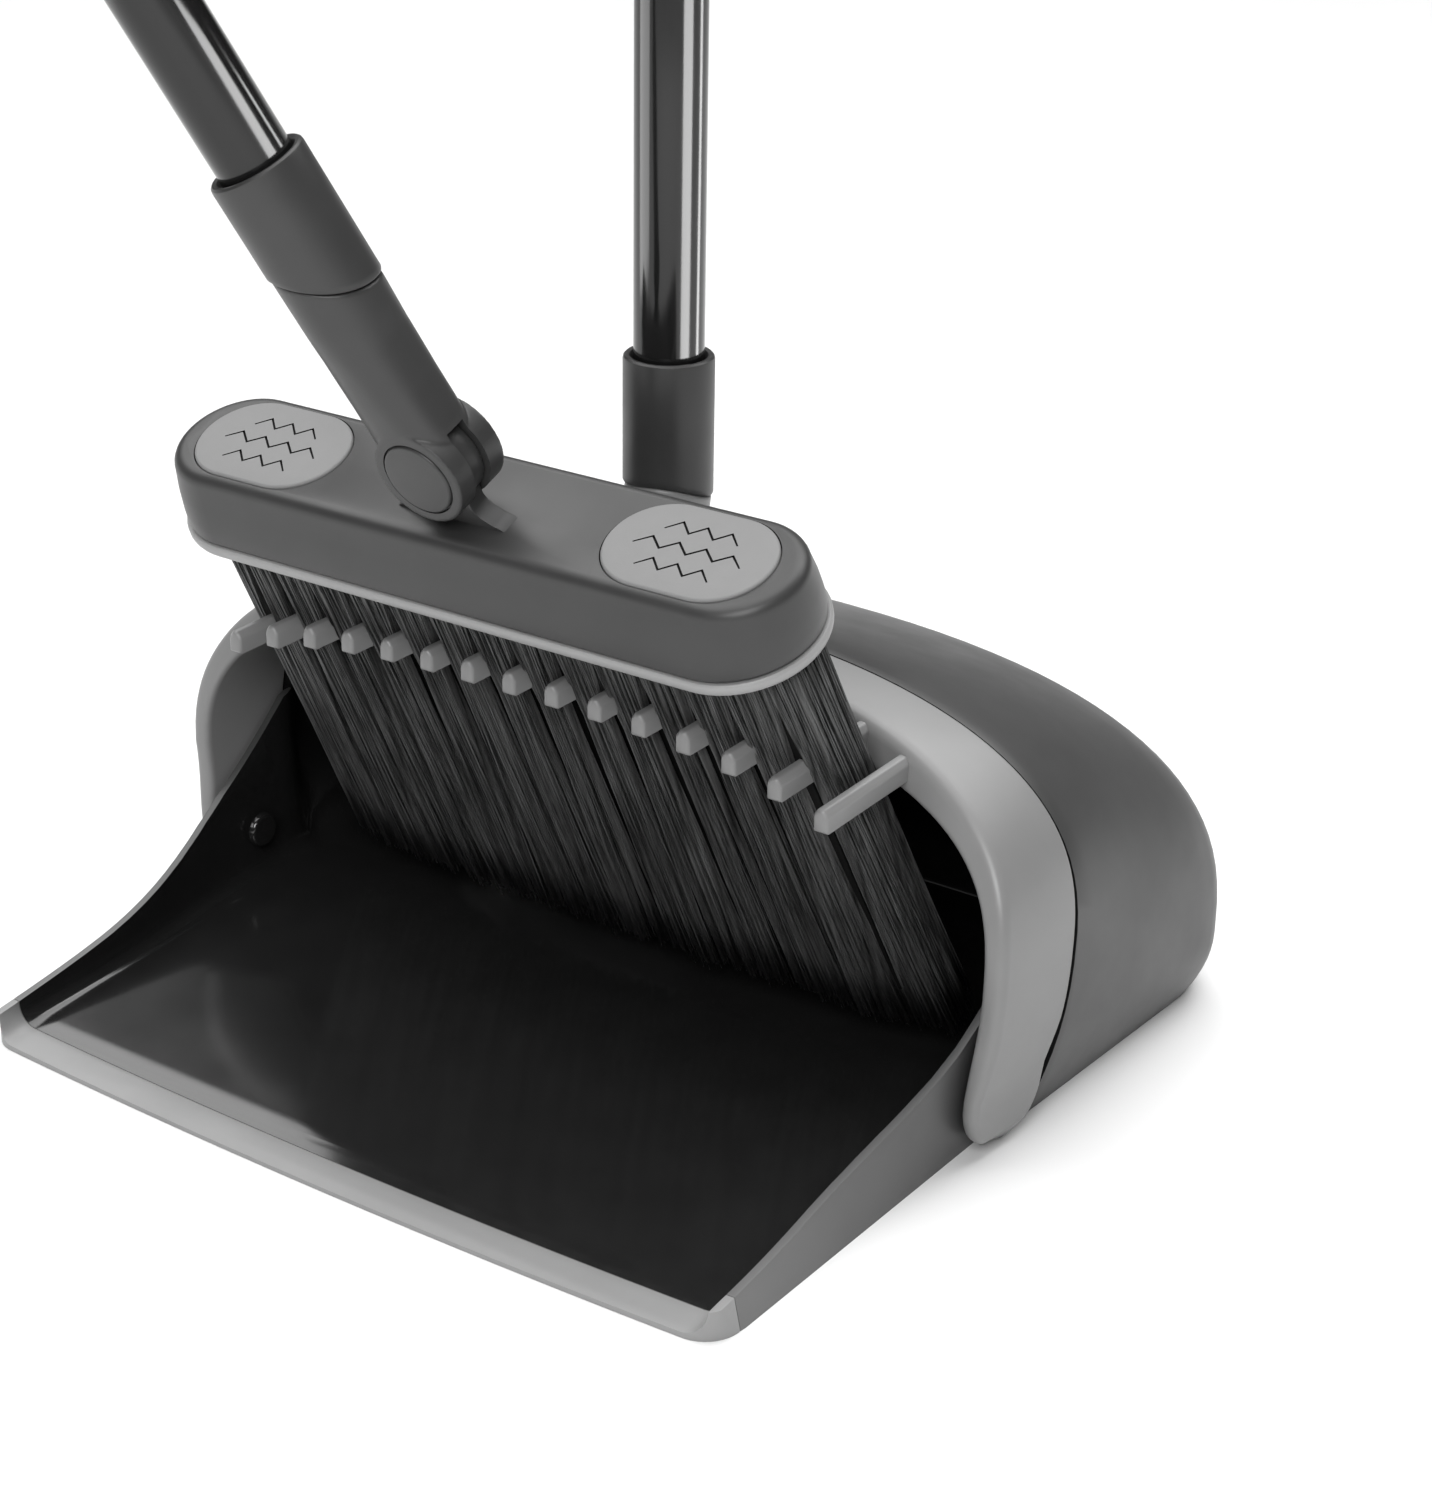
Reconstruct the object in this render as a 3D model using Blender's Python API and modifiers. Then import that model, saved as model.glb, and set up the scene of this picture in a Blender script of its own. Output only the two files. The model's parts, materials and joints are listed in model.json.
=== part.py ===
"""Upright dustpan with a folding yoke handle, and the long broom that parks in the yoke's comb.

World frame, metres: X to the right along the lip, Y from the lip towards the hood, Z up.
The origin is on the underside of the pan, below the yoke's pivots.
"""

import math

import bmesh
import bpy
from mathutils import Matrix, Vector

# ---------------------------------------------------------------- driving dimensions
GAP = 0.0003

# Pan
LIP_Y = -0.148
LIP_BOW = 0.18
LIP_DEPTH = 0.0115
BACK_Y = 0.140
BACK_ROUND = 0.025
WALL = 0.0026
FLOOR = 0.0030
LIP_EDGE = 0.0016
FRONT_CORNER = 0.012
TRAY_TOP = 0.084
TRAY_FLARE = 0.0030
TRAY_TUCK = -0.012
HOOD_Y = 0.0165
HOOD_LEAN = math.radians(4.58)
HOOD_CROWN = 0.141
HOOD_DROP = 0.027
FLANGE = 0.0070

# Yoke and its pivots
PIVOT_Y = -0.004
PIVOT_Z = 0.022
PAD_R = 0.019
YOKE_INNER = 0.1575
CROWN_FRONT = 0.008
CROWN_THICK = 0.019
PIN_R = 0.0040
TEETH = 15
TOOTH_PITCH = 0.0168
TOOTH_WIDE = 0.0055
TOOTH_HIGH = 0.0080
TOOTH_TIP_Y = -0.047

# Poles, shared by the pan and the broom
POLE_R = 0.01175
POLE_WALL = 0.0006
SECTION = 0.228
CRIMP = 0.060
SPIGOT_R = 0.0108
SPIGOT_BORE = 0.0080
SLEEVE_R = 0.0152
SLEEVE_BORE = 0.0121
GRIP_R = 0.0145
GRIP_LONG = 0.145
GRIP_OVERLAP = 0.030
RING_R = 0.0135
RING_WIRE = 0.0031

# Wave of the seam under each sleeve: height and direction of one swell, then of two swells a turn
PAN_SEAM = (0.00215, math.radians(-146), 0.0018, math.radians(-56))
BROOM_SEAM = (0.0069, math.radians(-128), -0.0013, math.radians(-38))

# Pan pole
POLE_Y = 0.041
SHOULDER_Z = 0.1776
SLEEVE_LONG = 0.044
CLIP_Z = 0.796
CLIP_HIGH = 0.026
CLIP_REACH = 0.033

# Broom head, in its own frame: origin at the middle of its top face
HEAD = Vector((-0.0085, -0.052, 0.197))
HEAD_LEAN = math.radians(22.0)
HEAD_LONG_TOP = 0.239
HEAD_WIDE_TOP = 0.046
HEAD_LONG = 0.241
HEAD_WIDE = 0.055
COVER_HIGH = 0.0235
TRIM_HIGH = 0.0046
PAD_X = 0.0815
PAD_LONG = 0.058
PAD_WIDE = 0.038
TUFT_LEAN = math.radians(26.5)
TUFT_LONG = 0.1665
TUFT_HALF_LONG = 0.120
TUFT_HALF_WIDE = 0.0145
TUFT_SINK = 0.006

# Swivel between the head and the broom's handle
SWIVEL_Y = -0.0075
SWIVEL_UP = 0.021
SWIVEL_TURN = math.radians(19.0)
LUG_HALF = 0.0037
LUG_R = 0.0139
LUG_NECK = 0.0095
LUG_FOOT = 0.0205
FORK_HALF = 0.0112
FORK_R = 0.016
FORK_ROOF = 0.010
CAP_R = 0.0122
ARM_LONG = 0.065
BROOM_SLEEVE_LONG = 0.0395

COLOURS = {
    "charcoal": ((0.075, 0.075, 0.078), 0.48, 0.0),
    "light_grey": ((0.34, 0.34, 0.345), 0.42, 0.0),
    "gloss_black": ((0.012, 0.012, 0.013), 0.25, 0.0),
    "bristle": ((0.014, 0.014, 0.015), 0.6, 0.0),
    "pole_metal": ((0.045, 0.045, 0.048), 0.22, 0.9),
    "steel": ((0.5, 0.5, 0.5), 0.35, 1.0),
    "nylon": ((0.6, 0.6, 0.58), 0.5, 0.0),
}


# ---------------------------------------------------------------- scene helpers
def clear_scene():
    for obj in list(bpy.data.objects):
        bpy.data.objects.remove(obj)


def make_collection(name, hidden=False):
    collection = bpy.data.collections.new(name)
    bpy.context.scene.collection.children.link(collection)
    collection.hide_render = hidden
    return collection


clear_scene()
PARTS = make_collection("dustpan_and_broom")
CUTTERS = make_collection("cutters", hidden=True)


def material(part_name, kind):
    colour, roughness, metallic = COLOURS[kind]
    made = bpy.data.materials.new(part_name + "_" + kind)
    made.use_nodes = True
    shader = made.node_tree.nodes["Principled BSDF"]
    shader.inputs["Base Color"].default_value = (*colour, 1.0)
    shader.inputs["Roughness"].default_value = roughness
    shader.inputs["Metallic"].default_value = metallic
    return made


def add_object(name, bm, kind=None, parent=None, smooth=40.0):
    """A named part in its colour, or a hidden cutter when no kind of material is given."""
    bmesh.ops.recalc_face_normals(bm, faces=bm.faces)
    mesh = bpy.data.meshes.new(name)
    bm.to_mesh(mesh)
    bm.free()
    obj = bpy.data.objects.new(name, mesh)
    if kind is None:
        CUTTERS.objects.link(obj)
        obj.hide_render = True
        obj.display_type = "WIRE"
    else:
        PARTS.objects.link(obj)
        mesh.materials.append(material(name, kind))
        mesh.shade_smooth()
        mesh.set_sharp_from_angle(angle=math.radians(smooth))
    obj.parent = parent
    return obj


def boolean(obj, other, operation="DIFFERENCE"):
    modifier = obj.modifiers.new(operation.lower() + "_" + other.name, "BOOLEAN")
    modifier.operation = operation
    modifier.object = other
    modifier.solver = "EXACT"


def axis_empty(name, matrix, parent=None):
    empty = bpy.data.objects.new(name, None)
    PARTS.objects.link(empty)
    empty.matrix_world = matrix
    empty.parent = parent
    return empty


# ---------------------------------------------------------------- shape helpers
def loft(bm, rings, closed=False):
    """Skins equal rings of points. The ends are capped, or joined to each other when closed."""
    rows = [[bm.verts.new(point) for point in ring] for ring in rings]
    pairs = list(zip(rows, rows[1:] + rows[:1])) if closed else list(zip(rows, rows[1:]))
    for low, high in pairs:
        count = len(low)
        for i in range(count):
            j = (i + 1) % count
            bm.faces.new((low[i], low[j], high[j], high[i]))
    if not closed:
        bm.faces.new(rows[0][::-1])
        bm.faces.new(rows[-1])
    return bm


def turned(name, profile, kind=None, parent=None, segments=24):
    """A profile of (radius, height) points turned about Z, open at the axis or a closed ring."""
    rise = sum((b[1] - a[1]) * (a[0] + b[0]) for a, b in zip(profile, profile[1:] + profile[:1]))
    points = profile[::-1] if rise > 0 else profile
    bm = bmesh.new()
    verts = [bm.verts.new((radius, 0, height)) for radius, height in points]
    for first, second in zip(verts, verts[1:]):
        bm.edges.new((first, second))
    if profile[0][0] > 0:
        bm.edges.new((verts[-1], verts[0]))
    obj = add_object(name, bm, kind, parent)
    screw = obj.modifiers.new("turn", "SCREW")
    screw.steps = segments
    screw.render_steps = segments
    screw.use_merge_vertices = True
    screw.merge_threshold = 0.00001
    screw.use_smooth_shade = kind is not None
    return obj


def box(low, high):
    bm = bmesh.new()
    bmesh.ops.create_cube(bm, size=1.0)
    for vert in bm.verts:
        for k in range(3):
            vert.co[k] = low[k] if vert.co[k] < 0 else high[k]
    return bm


def rod(radius, start, end, segments=20):
    """A cylinder between two points."""
    start = Vector(start)
    end = Vector(end)
    turn = (end - start).to_track_quat("Z", "Y").to_matrix().to_4x4()
    bm = bmesh.new()
    bmesh.ops.create_cone(
        bm,
        cap_ends=True,
        segments=segments,
        radius1=radius,
        radius2=radius,
        depth=(end - start).length,
        matrix=Matrix.Translation((start + end) / 2) @ turn,
    )
    return bm


def prism(outline, low, high, plane="YZ"):
    """A flat outline pushed along the axis that its plane leaves out."""
    bm = bmesh.new()
    if plane == "YZ":
        rings = [[Vector((level, a, b)) for a, b in outline] for level in (low, high)]
    elif plane == "XZ":
        rings = [[Vector((a, level, b)) for a, b in outline] for level in (low, high)]
    else:
        rings = [[Vector((a, b, level)) for a, b in outline] for level in (low, high)]
    return loft(bm, rings)


def stadium(length, width, height, steps=8, shift=0.0):
    """A ring with straight sides and round ends, in XY at one height."""
    radius = width / 2
    reach = length / 2 - radius
    ring = []
    for side in (1, -1):
        for i in range(steps + 1):
            angle = -math.pi / 2 + math.pi * i / steps
            x = side * (reach + radius * math.cos(angle))
            y = side * radius * math.sin(angle)
            ring.append(Vector((x, y + shift, height)))
    return ring


def superellipse(half_long, half_wide, power, height, steps=32, shift=0.0):
    ring = []
    for i in range(steps):
        angle = 2 * math.pi * (i + 0.5) / steps
        x = half_long * math.copysign(abs(math.cos(angle)) ** (2 / power), math.cos(angle))
        y = half_wide * math.copysign(abs(math.sin(angle)) ** (2 / power), math.sin(angle))
        ring.append(Vector((x, y + shift, height)))
    return ring


def blend(low, high, share):
    share = max(0.0, min(1.0, share))
    share = share * share * (3 - 2 * share)
    return low + (high - low) * share


# ---------------------------------------------------------------- pan
def tray_base(y):
    """Half width of the tray at the floor, from the lip to the hood."""
    return 0.1485 + 0.040 * (y - LIP_Y)


def tray_flare(y):
    """How far the side walls stand out at their widest height. They tuck in along the front."""
    return blend(TRAY_TUCK, TRAY_FLARE, (y + 0.096) / 0.078)


def hood_base(y):
    return 0.1592 + 0.075 * (y - HOOD_Y)


def hood_flare(y):
    return 0.012 - 0.030 * max(0.0, y - 0.028)


def hood_crown(y):
    share = max(0.0, (y - 0.028) / 0.092)
    return HOOD_CROWN - HOOD_DROP * share**1.3


def hood_widest_z(y):
    return 0.060 - 0.32 * (y - HOOD_Y)


def side_x(z, base, flare, widest_z):
    """Half width at a height: the sides lean out, or in, by the flare at their widest height."""
    return base + flare * (1 - (1 - min(1.0, z / widest_z)) ** 2)


def pan_section(y, base, flare, widest_z, crown, floor, corner=0.0, power=2.8, steps=9):
    """One cross-section: flat floor, curved sides and a crowned arch, from one side to the other."""
    half = []
    if corner > 0:
        for i in range(4):
            angle = -math.pi / 2 + math.pi / 2 * i / 3
            z = floor + corner + corner * math.sin(angle)
            half.append((side_x(z, base, flare, widest_z) - corner + corner * math.cos(angle), z))
    else:
        half.append((base, floor))
    start = floor + corner
    for share in (0.12, 0.28, 0.52, 1.0):
        z = start + (widest_z - start) * share
        half.append((side_x(z, base, flare, widest_z), z))
    widest = base + flare
    for i in range(1, steps):
        angle = math.pi / 2 * i / steps
        x = widest * math.cos(angle) ** (2 / power)
        half.append((x, widest_z + (crown - widest_z) * math.sin(angle) ** (2 / power)))
    ring = [Vector((x, y, z)) for x, z in half]
    ring.append(Vector((0, y, crown)))
    ring += [Vector((-p.x, y, p.z)) for p in reversed(ring[:-1])]
    return ring


def wall_top(y):
    """Height of the tray's side walls, low at the lip and rising to the hood."""
    share = max(0.0, min(1.0, (y - LIP_Y) / (HOOD_Y - LIP_Y)))
    return 0.0095 + 0.016 * share + 0.043 * share**3


def hood_plane(z):
    """Y of the leaning plane that the hood's front edge lies in."""
    return HOOD_Y + z * math.tan(HOOD_LEAN)


def hood_solid():
    rings = []
    for y in (0.004, 0.034, 0.060, 0.083, 0.100):
        rings.append(pan_section(y, hood_base(y), hood_flare(y), hood_widest_z(y), hood_crown(y), 0.0))
    steps = [(math.sin(math.radians(d)), 1 - math.cos(math.radians(d))) for d in (0, 28, 55, 78)]
    for along, inward in steps + [(1.0, 0.93)]:
        y = BACK_Y - BACK_ROUND + BACK_ROUND * along
        inset = BACK_ROUND * inward
        base = hood_base(y) - inset
        crown = hood_crown(y) - inset
        rings.append(pan_section(y, base, hood_flare(y), hood_widest_z(y), crown, 0.0))
    return loft(bmesh.new(), rings)


def cavity_solid():
    """The space that dirt is swept into, from in front of the lip to the back wall."""
    rings = []
    stations = (-0.165, LIP_Y, LIP_Y + LIP_DEPTH, -0.090, -0.067, -0.044, -0.020)
    stations += (0.006, 0.018, 0.026, 0.036, 0.060)
    stations += (0.083, 0.103)
    for y in stations:
        share = (y - 0.018) / 0.018
        base = blend(tray_base(y) - WALL, hood_base(y) - WALL, share)
        flare = blend(tray_flare(y), hood_flare(y), share)
        crown = hood_crown(y) - blend(FLANGE, WALL, share)
        slope = min(1.0, max(0.0, (y - LIP_Y) / LIP_DEPTH))
        floor = LIP_EDGE + (FLOOR - LIP_EDGE) * slope
        rings.append(pan_section(y, base, flare, hood_widest_z(y), crown, floor, corner=0.009))
    for degrees in (0, 30, 55, 78):
        a = math.radians(degrees)
        y = BACK_Y - BACK_ROUND + (BACK_ROUND - WALL) * math.sin(a)
        inset = WALL + (BACK_ROUND - WALL) * (1 - math.cos(a))
        crown = hood_crown(y) - inset
        base = hood_base(y) - inset
        rings.append(pan_section(y, base, hood_flare(y), hood_widest_z(y), crown, FLOOR, corner=0.009))
    return loft(bmesh.new(), rings)


def tray_solid():
    rings = []
    for y in (LIP_Y - 0.006, -0.120, -0.090, -0.067, -0.044, -0.020, 0.006, HOOD_Y - 0.0004, 0.023):
        low = max(0.0, 0.2 * (y - HOOD_Y))
        right = []
        for z in (low, 0.006, 0.012, 0.022, 0.036, 0.055, TRAY_TOP):
            right.append(Vector((side_x(z, tray_base(y), tray_flare(y), hood_widest_z(y)), y, z)))
        rings.append(right + [Vector((-p.x, p.y, p.z)) for p in reversed(right)])
    return loft(bmesh.new(), rings)


def front_curve(x, depth=0.0):
    """Y of the lip's bowed front edge, or of a line behind it, with rounded corners."""
    half = tray_base(LIP_Y) + 0.0004
    corner = FRONT_CORNER if depth == 0 else 0.0
    past = max(0.0, abs(x) - (half - corner)) if corner else 0.0
    past = min(past, corner)
    return LIP_Y + depth + LIP_BOW * x * x + corner - math.sqrt(max(0.0, corner**2 - past**2))


def front_outline(depth, back_y):
    """The region between a bowed front line and a straight line behind it, in XY."""
    half = tray_base(LIP_Y) + 0.0004
    xs = [half * math.sin(math.pi / 2 * i / 12) for i in range(-12, 13)]
    points = [(x, front_curve(x, depth)) for x in xs]
    if depth > 0:
        points = [(-0.2, points[0][1])] + points + [(0.2, points[-1][1])]
    return points + [(0.2, back_y), (-0.2, back_y)]


def tray_walls(name, kind):
    """The open tray with its sloping side walls and rounded front corners, before lip and pan part."""
    tray = add_object(name, tray_solid(), kind)
    ys = [LIP_Y - 0.01 + (HOOD_Y + 0.012 - LIP_Y) * i / 20 for i in range(21)]
    above = [(y, wall_top(y)) for y in ys]
    above += [(0.05, wall_top(ys[-1])), (0.05, 0.2), (-0.2, 0.2), (-0.2, wall_top(-0.2))]
    boolean(tray, add_object(name + "_above_walls", prism(above, -0.2, 0.2)))
    corners = add_object(name + "_corners", prism(front_outline(0.0, 0.2), -0.01, 0.25, "XY"))
    boolean(tray, corners, "INTERSECT")
    return tray


def pan():
    shell = tray_walls("pan_shell", "gloss_black")
    hood = add_object("hood_solid", hood_solid())
    before = [(-0.05, -0.01), (hood_plane(-0.01), -0.01), (hood_plane(0.2), 0.2), (-0.05, 0.2)]
    boolean(hood, add_object("before_hood", prism(before, -0.2, 0.2)))
    boolean(shell, hood, "UNION")
    cavity = add_object("cavity", cavity_solid())
    boolean(shell, cavity)
    lip_region = front_outline(LIP_DEPTH + GAP / 2, -0.2)
    boolean(shell, add_object("lip_region", prism(lip_region, -0.01, 0.1, "XY")))
    through = rod(PIN_R + GAP, (-0.2, PIVOT_Y, PIVOT_Z), (0.2, PIVOT_Y, PIVOT_Z), 14)
    pin_holes = add_object("pin_holes", through)
    boolean(shell, pin_holes)
    lip = tray_walls("lip_strip", "light_grey")
    boolean(lip, cavity)
    rest = front_outline(LIP_DEPTH - GAP / 2, 0.3)
    boolean(lip, add_object("behind_lip", prism(rest, -0.01, 0.1, "XY")))


def pivot_pins():
    """A headed pin each side, pressed into the yoke's leg through the side wall."""
    for side, word in ((-1, "left"), (1, "right")):
        head = 0.1507
        profile = [
            (0.0, head - 0.0014),
            (0.0058, head - 0.0014),
            (0.0068, head),
            (0.0068, head + 0.0010),
            (PIN_R, head + 0.0010),
            (PIN_R, 0.1622),
            (0.0, 0.1622),
        ]
        pin = turned("pivot_pin_" + word, profile, "steel", segments=14)
        pin.location = (0, PIVOT_Y, PIVOT_Z)
        pin.rotation_euler = (0, side * math.pi / 2, 0)


# ---------------------------------------------------------------- yoke
def yoke_station(z, outline_x, normal, thickness, y_front, y_back, step):
    """Four corners of the yoke's band: outer back, outer front, inner front, inner back."""
    outer = Vector((outline_x, 0, z))
    inner = outer - normal * thickness
    front = outer - normal * step
    return [
        Vector((outer.x, y_back, outer.z)),
        Vector((front.x, y_front, front.z)),
        Vector((inner.x, y_front, inner.z)),
        Vector((inner.x, y_back - (outer.z - inner.z) * math.tan(HOOD_LEAN), inner.z)),
    ]


def rounded_ring(corners, radius):
    """A four-cornered ring whose corners are each cut by three points."""
    ring = []
    for i, corner in enumerate(corners):
        before = corners[i - 1] - corner
        after = corners[(i + 1) % 4] - corner
        reach = min(radius, before.length * 0.45, after.length * 0.45)
        first = corner + before.normalized() * reach
        last = corner + after.normalized() * reach
        middle = corner + (first + last - 2 * corner) * 0.30
        ring += [first, middle, last]
    return ring


def yoke_stations():
    """Stations up the right leg from the round pad to the crown."""
    stations = []
    for degrees in (78, 60, 42, 24, 8):
        a = math.radians(degrees)
        z = PIVOT_Z - PAD_R * math.sin(a)
        reach = PAD_R * math.cos(a)
        outer = 0.1664 - 0.0016 * math.sin(a) ** 2
        thick = outer - YOKE_INNER
        across = Vector((1, 0, 0))
        stations.append(yoke_station(z, outer, across, thick, PIVOT_Y - reach, PIVOT_Y + reach, 0.005))
    for z in (0.026, 0.034, 0.046):
        outer = hood_base(HOOD_Y) + 0.012 * (1 - (1 - z / 0.060) ** 2)
        inner = YOKE_INNER + 0.08 * (z - PIVOT_Z)
        back = blend(PIVOT_Y + PAD_R, hood_plane(z) - 0.0005, (z - PIVOT_Z) / 0.020)
        front = blend(PIVOT_Y - PAD_R, -0.020, (z - PIVOT_Z) / 0.03)
        stations.append(yoke_station(z, outer, Vector((1, 0, 0)), outer - inner, front, back, 0.0040))
    widest = hood_base(HOOD_Y) + 0.012
    steps = 11
    for i in range(steps + 1):
        angle = math.pi / 2 * i / steps
        x = widest * math.cos(angle) ** (2 / 2.8) if i < steps else 0.0
        z = 0.060 + (HOOD_CROWN - 0.060) * math.sin(angle) ** (2 / 2.8)
        power = 1.8
        rise = (z - 0.060) / 0.081
        normal = Vector(((x / widest) ** power / widest, 0, rise**power / 0.081)).normalized()
        thickness = blend(0.0107, CROWN_THICK, (i / steps) ** 0.8)
        front = -0.020 + (CROWN_FRONT + 0.020) * math.sin(angle) ** 1.3
        step = blend(0.0032, 0.0016, i / steps)
        stations.append(yoke_station(z, x, normal, thickness, front, hood_plane(z) - 0.0005, step))
    return stations


def yoke_band():
    right = [rounded_ring(corners, 0.0030) for corners in yoke_stations()]
    left = [[Vector((-p.x, p.y, p.z)) for p in ring] for ring in reversed(right[:-1])]
    return loft(bmesh.new(), right + left)


def tooth_x(index):
    return (index - (TEETH - 1) / 2) * TOOTH_PITCH


def tooth_z(x):
    """Height of the comb's teeth, which follow the crown."""
    return 0.1345 - 0.32 * x * x - 54.0 * x**4


def comb():
    """Fifteen blunt teeth that stand forward from the crown, with chamfered tips."""
    bm = bmesh.new()
    for index in range(TEETH):
        x = tooth_x(index)
        z = tooth_z(x)
        rings = []
        stations = ((TOOTH_TIP_Y, 0.0012), (TOOTH_TIP_Y + 0.0018, 0.0), (0.014, 0.0))
        for y, inset in stations:
            wide = TOOTH_WIDE / 2 - inset
            high = TOOTH_HIGH / 2 - inset
            nick = 0.0010
            rings.append(
                [
                    Vector((x - wide, y, z - high)),
                    Vector((x + wide, y, z - high)),
                    Vector((x + wide, y, z + high - nick)),
                    Vector((x + wide - nick, y, z + high)),
                    Vector((x - wide + nick, y, z + high)),
                    Vector((x - wide, y, z + high - nick)),
                ]
            )
        loft(bm, rings)
    return bm


def seam_wave(angle, seam):
    """Height of the wavy line where a sleeve meets the shoulder below it."""
    swell, toward, double, middle = seam
    return swell * math.cos(angle - toward) + double * math.cos(2 * (angle - middle))


def tube_start(seam):
    """Where the first tube of a pole begins, above the highest point of the seam."""
    return seam[0] + abs(seam[2]) + 0.003


def neck():
    """The post that grows out of the crown and stands the pole above the hood."""
    rings = []
    count = 24
    stations = (
        (0.127, 0.0172, 0.030, 0.0070, 4.0),
        (0.140, 0.0182, 0.024, 0.0084, 4.0),
        (0.148, 0.0220, 0.0190, 0.0096, 3.4),
        (0.156, 0.0295, 0.0160, 0.0112, 3.0),
        (0.164, 0.0370, 0.0146, 0.0130, 2.4),
        (0.171, POLE_Y, 0.0145, 0.0145, 2.0),
    )
    angles = [2 * math.pi * i / count for i in range(count)]
    for z, y, half_x, half_y, power in stations:
        ring = []
        for a in angles:
            x = half_x * math.copysign(abs(math.cos(a)) ** (2 / power), math.cos(a))
            dy = half_y * math.copysign(abs(math.sin(a)) ** (2 / power), math.sin(a))
            ring.append(Vector((x, y + dy, z)))
        rings.append(ring)
    for radius in (0.0145, SPIGOT_R):
        ring = []
        for a in angles:
            z = SHOULDER_Z + seam_wave(a, PAN_SEAM) - GAP
            ring.append(Vector((radius * math.cos(a), POLE_Y + radius * math.sin(a), z)))
        rings.append(ring)
    top = SHOULDER_Z + 0.045
    for z, radius in ((top - 0.001, SPIGOT_R), (top, SPIGOT_R - 0.001)):
        rings.append([Vector((radius * math.cos(a), POLE_Y + radius * math.sin(a), z)) for a in angles])
    return loft(bmesh.new(), rings)


def sleeve_ring(high, seam, count=24):
    """A sleeve whose lower edge follows the wavy seam."""
    rings = []
    angles = [2 * math.pi * i / count for i in range(count)]
    spec = (
        (SLEEVE_BORE, 0.0, True),
        (SLEEVE_R - 0.0006, 0.0, True),
        (SLEEVE_R, 0.0008, True),
        (SLEEVE_R, high - 0.0010, False),
        (SLEEVE_R - 0.0009, high, False),
        (SLEEVE_BORE + 0.0005, high, False),
        (SLEEVE_BORE, high - 0.0006, False),
    )
    for radius, z, wavy in spec:
        ring = []
        for a in angles:
            lift = seam_wave(a, seam) if wavy else 0.0
            ring.append(Vector((radius * math.cos(a), radius * math.sin(a), z + lift)))
        rings.append(ring)
    return loft(bmesh.new(), rings, closed=True)


def yoke():
    """The arch turns on the two pivot pins, so it hangs on an empty on their axis."""
    fold = axis_empty("pan_fold_axis", Matrix.Translation((0, PIVOT_Y, PIVOT_Z)))
    arch = add_object("yoke_arch", yoke_band(), "light_grey", fold)
    arch.matrix_parent_inverse = Matrix.Translation((0, -PIVOT_Y, -PIVOT_Z))
    boolean(arch, add_object("comb_teeth", comb()), "UNION")
    boolean(arch, add_object("neck_solid", neck()), "UNION")
    for side in (-1, 1):
        hole = rod(PIN_R + GAP, (side * 0.150, PIVOT_Y, PIVOT_Z), (side * 0.1626, PIVOT_Y, PIVOT_Z), 14)
        boolean(arch, add_object("leg_hole", hole))
    bore = add_object("neck_bore", rod(SPIGOT_BORE, (0, POLE_Y, SHOULDER_Z + 0.008), (0, POLE_Y, 0.24)))
    boolean(arch, bore)
    button_z = SHOULDER_Z + 0.024
    hole = rod(0.0033, (0, POLE_Y + 0.004, button_z), (0, POLE_Y + 0.020, button_z), 16)
    boolean(arch, add_object("neck_button_hole", hole))
    return fold


# ---------------------------------------------------------------- poles, grips and rings
def pole_profile(length, crimped):
    """Outer side from top to bottom, then the bore upwards. A crimp is a groove rolled into the tube."""
    inner = POLE_R - POLE_WALL
    groove = [(0.0, CRIMP + 0.0020), (0.0007, CRIMP), (0.0, CRIMP - 0.0020)] if crimped else []
    outside = [(POLE_R, length)] + [(POLE_R - d, z) for d, z in groove] + [(POLE_R, 0.0)]
    inside = [(inner, 0.0)] + [(inner - d, z) for d, z in reversed(groove)] + [(inner, length)]
    return outside + inside


def pole_section(name, low, parent, crimped):
    section = turned(name, pole_profile(SECTION - GAP, crimped), "pole_metal", parent, 20)
    section.location = (0, 0, low)
    return section


def screw_plug(name, seam, parent):
    """The threaded nylon plug that joins two tubes, half in each."""
    profile = [(0.0, -0.025), (SPIGOT_R, -0.025), (SPIGOT_R, 0.001)]
    for turn in range(3):
        low = 0.005 + 0.007 * turn
        profile += [(0.0096, low - 0.0010), (SPIGOT_R, low + 0.0010)]
    profile += [(0.0092, 0.024), (0.0, 0.024)]
    plug = turned(name, profile, "nylon", parent, 14)
    plug.location = (0, 0, seam)


def grip(name, low, parent):
    inner = SLEEVE_BORE
    profile = [
        (inner, 0.0),
        (GRIP_R - 0.0008, 0.0),
        (GRIP_R, 0.0012),
        (GRIP_R, GRIP_LONG - 0.0020),
        (GRIP_R - 0.0014, GRIP_LONG),
        (inner, GRIP_LONG),
    ]
    sleeve = turned(name, profile, "light_grey", parent, 20)
    sleeve.location = (0, 0, low)


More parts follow.
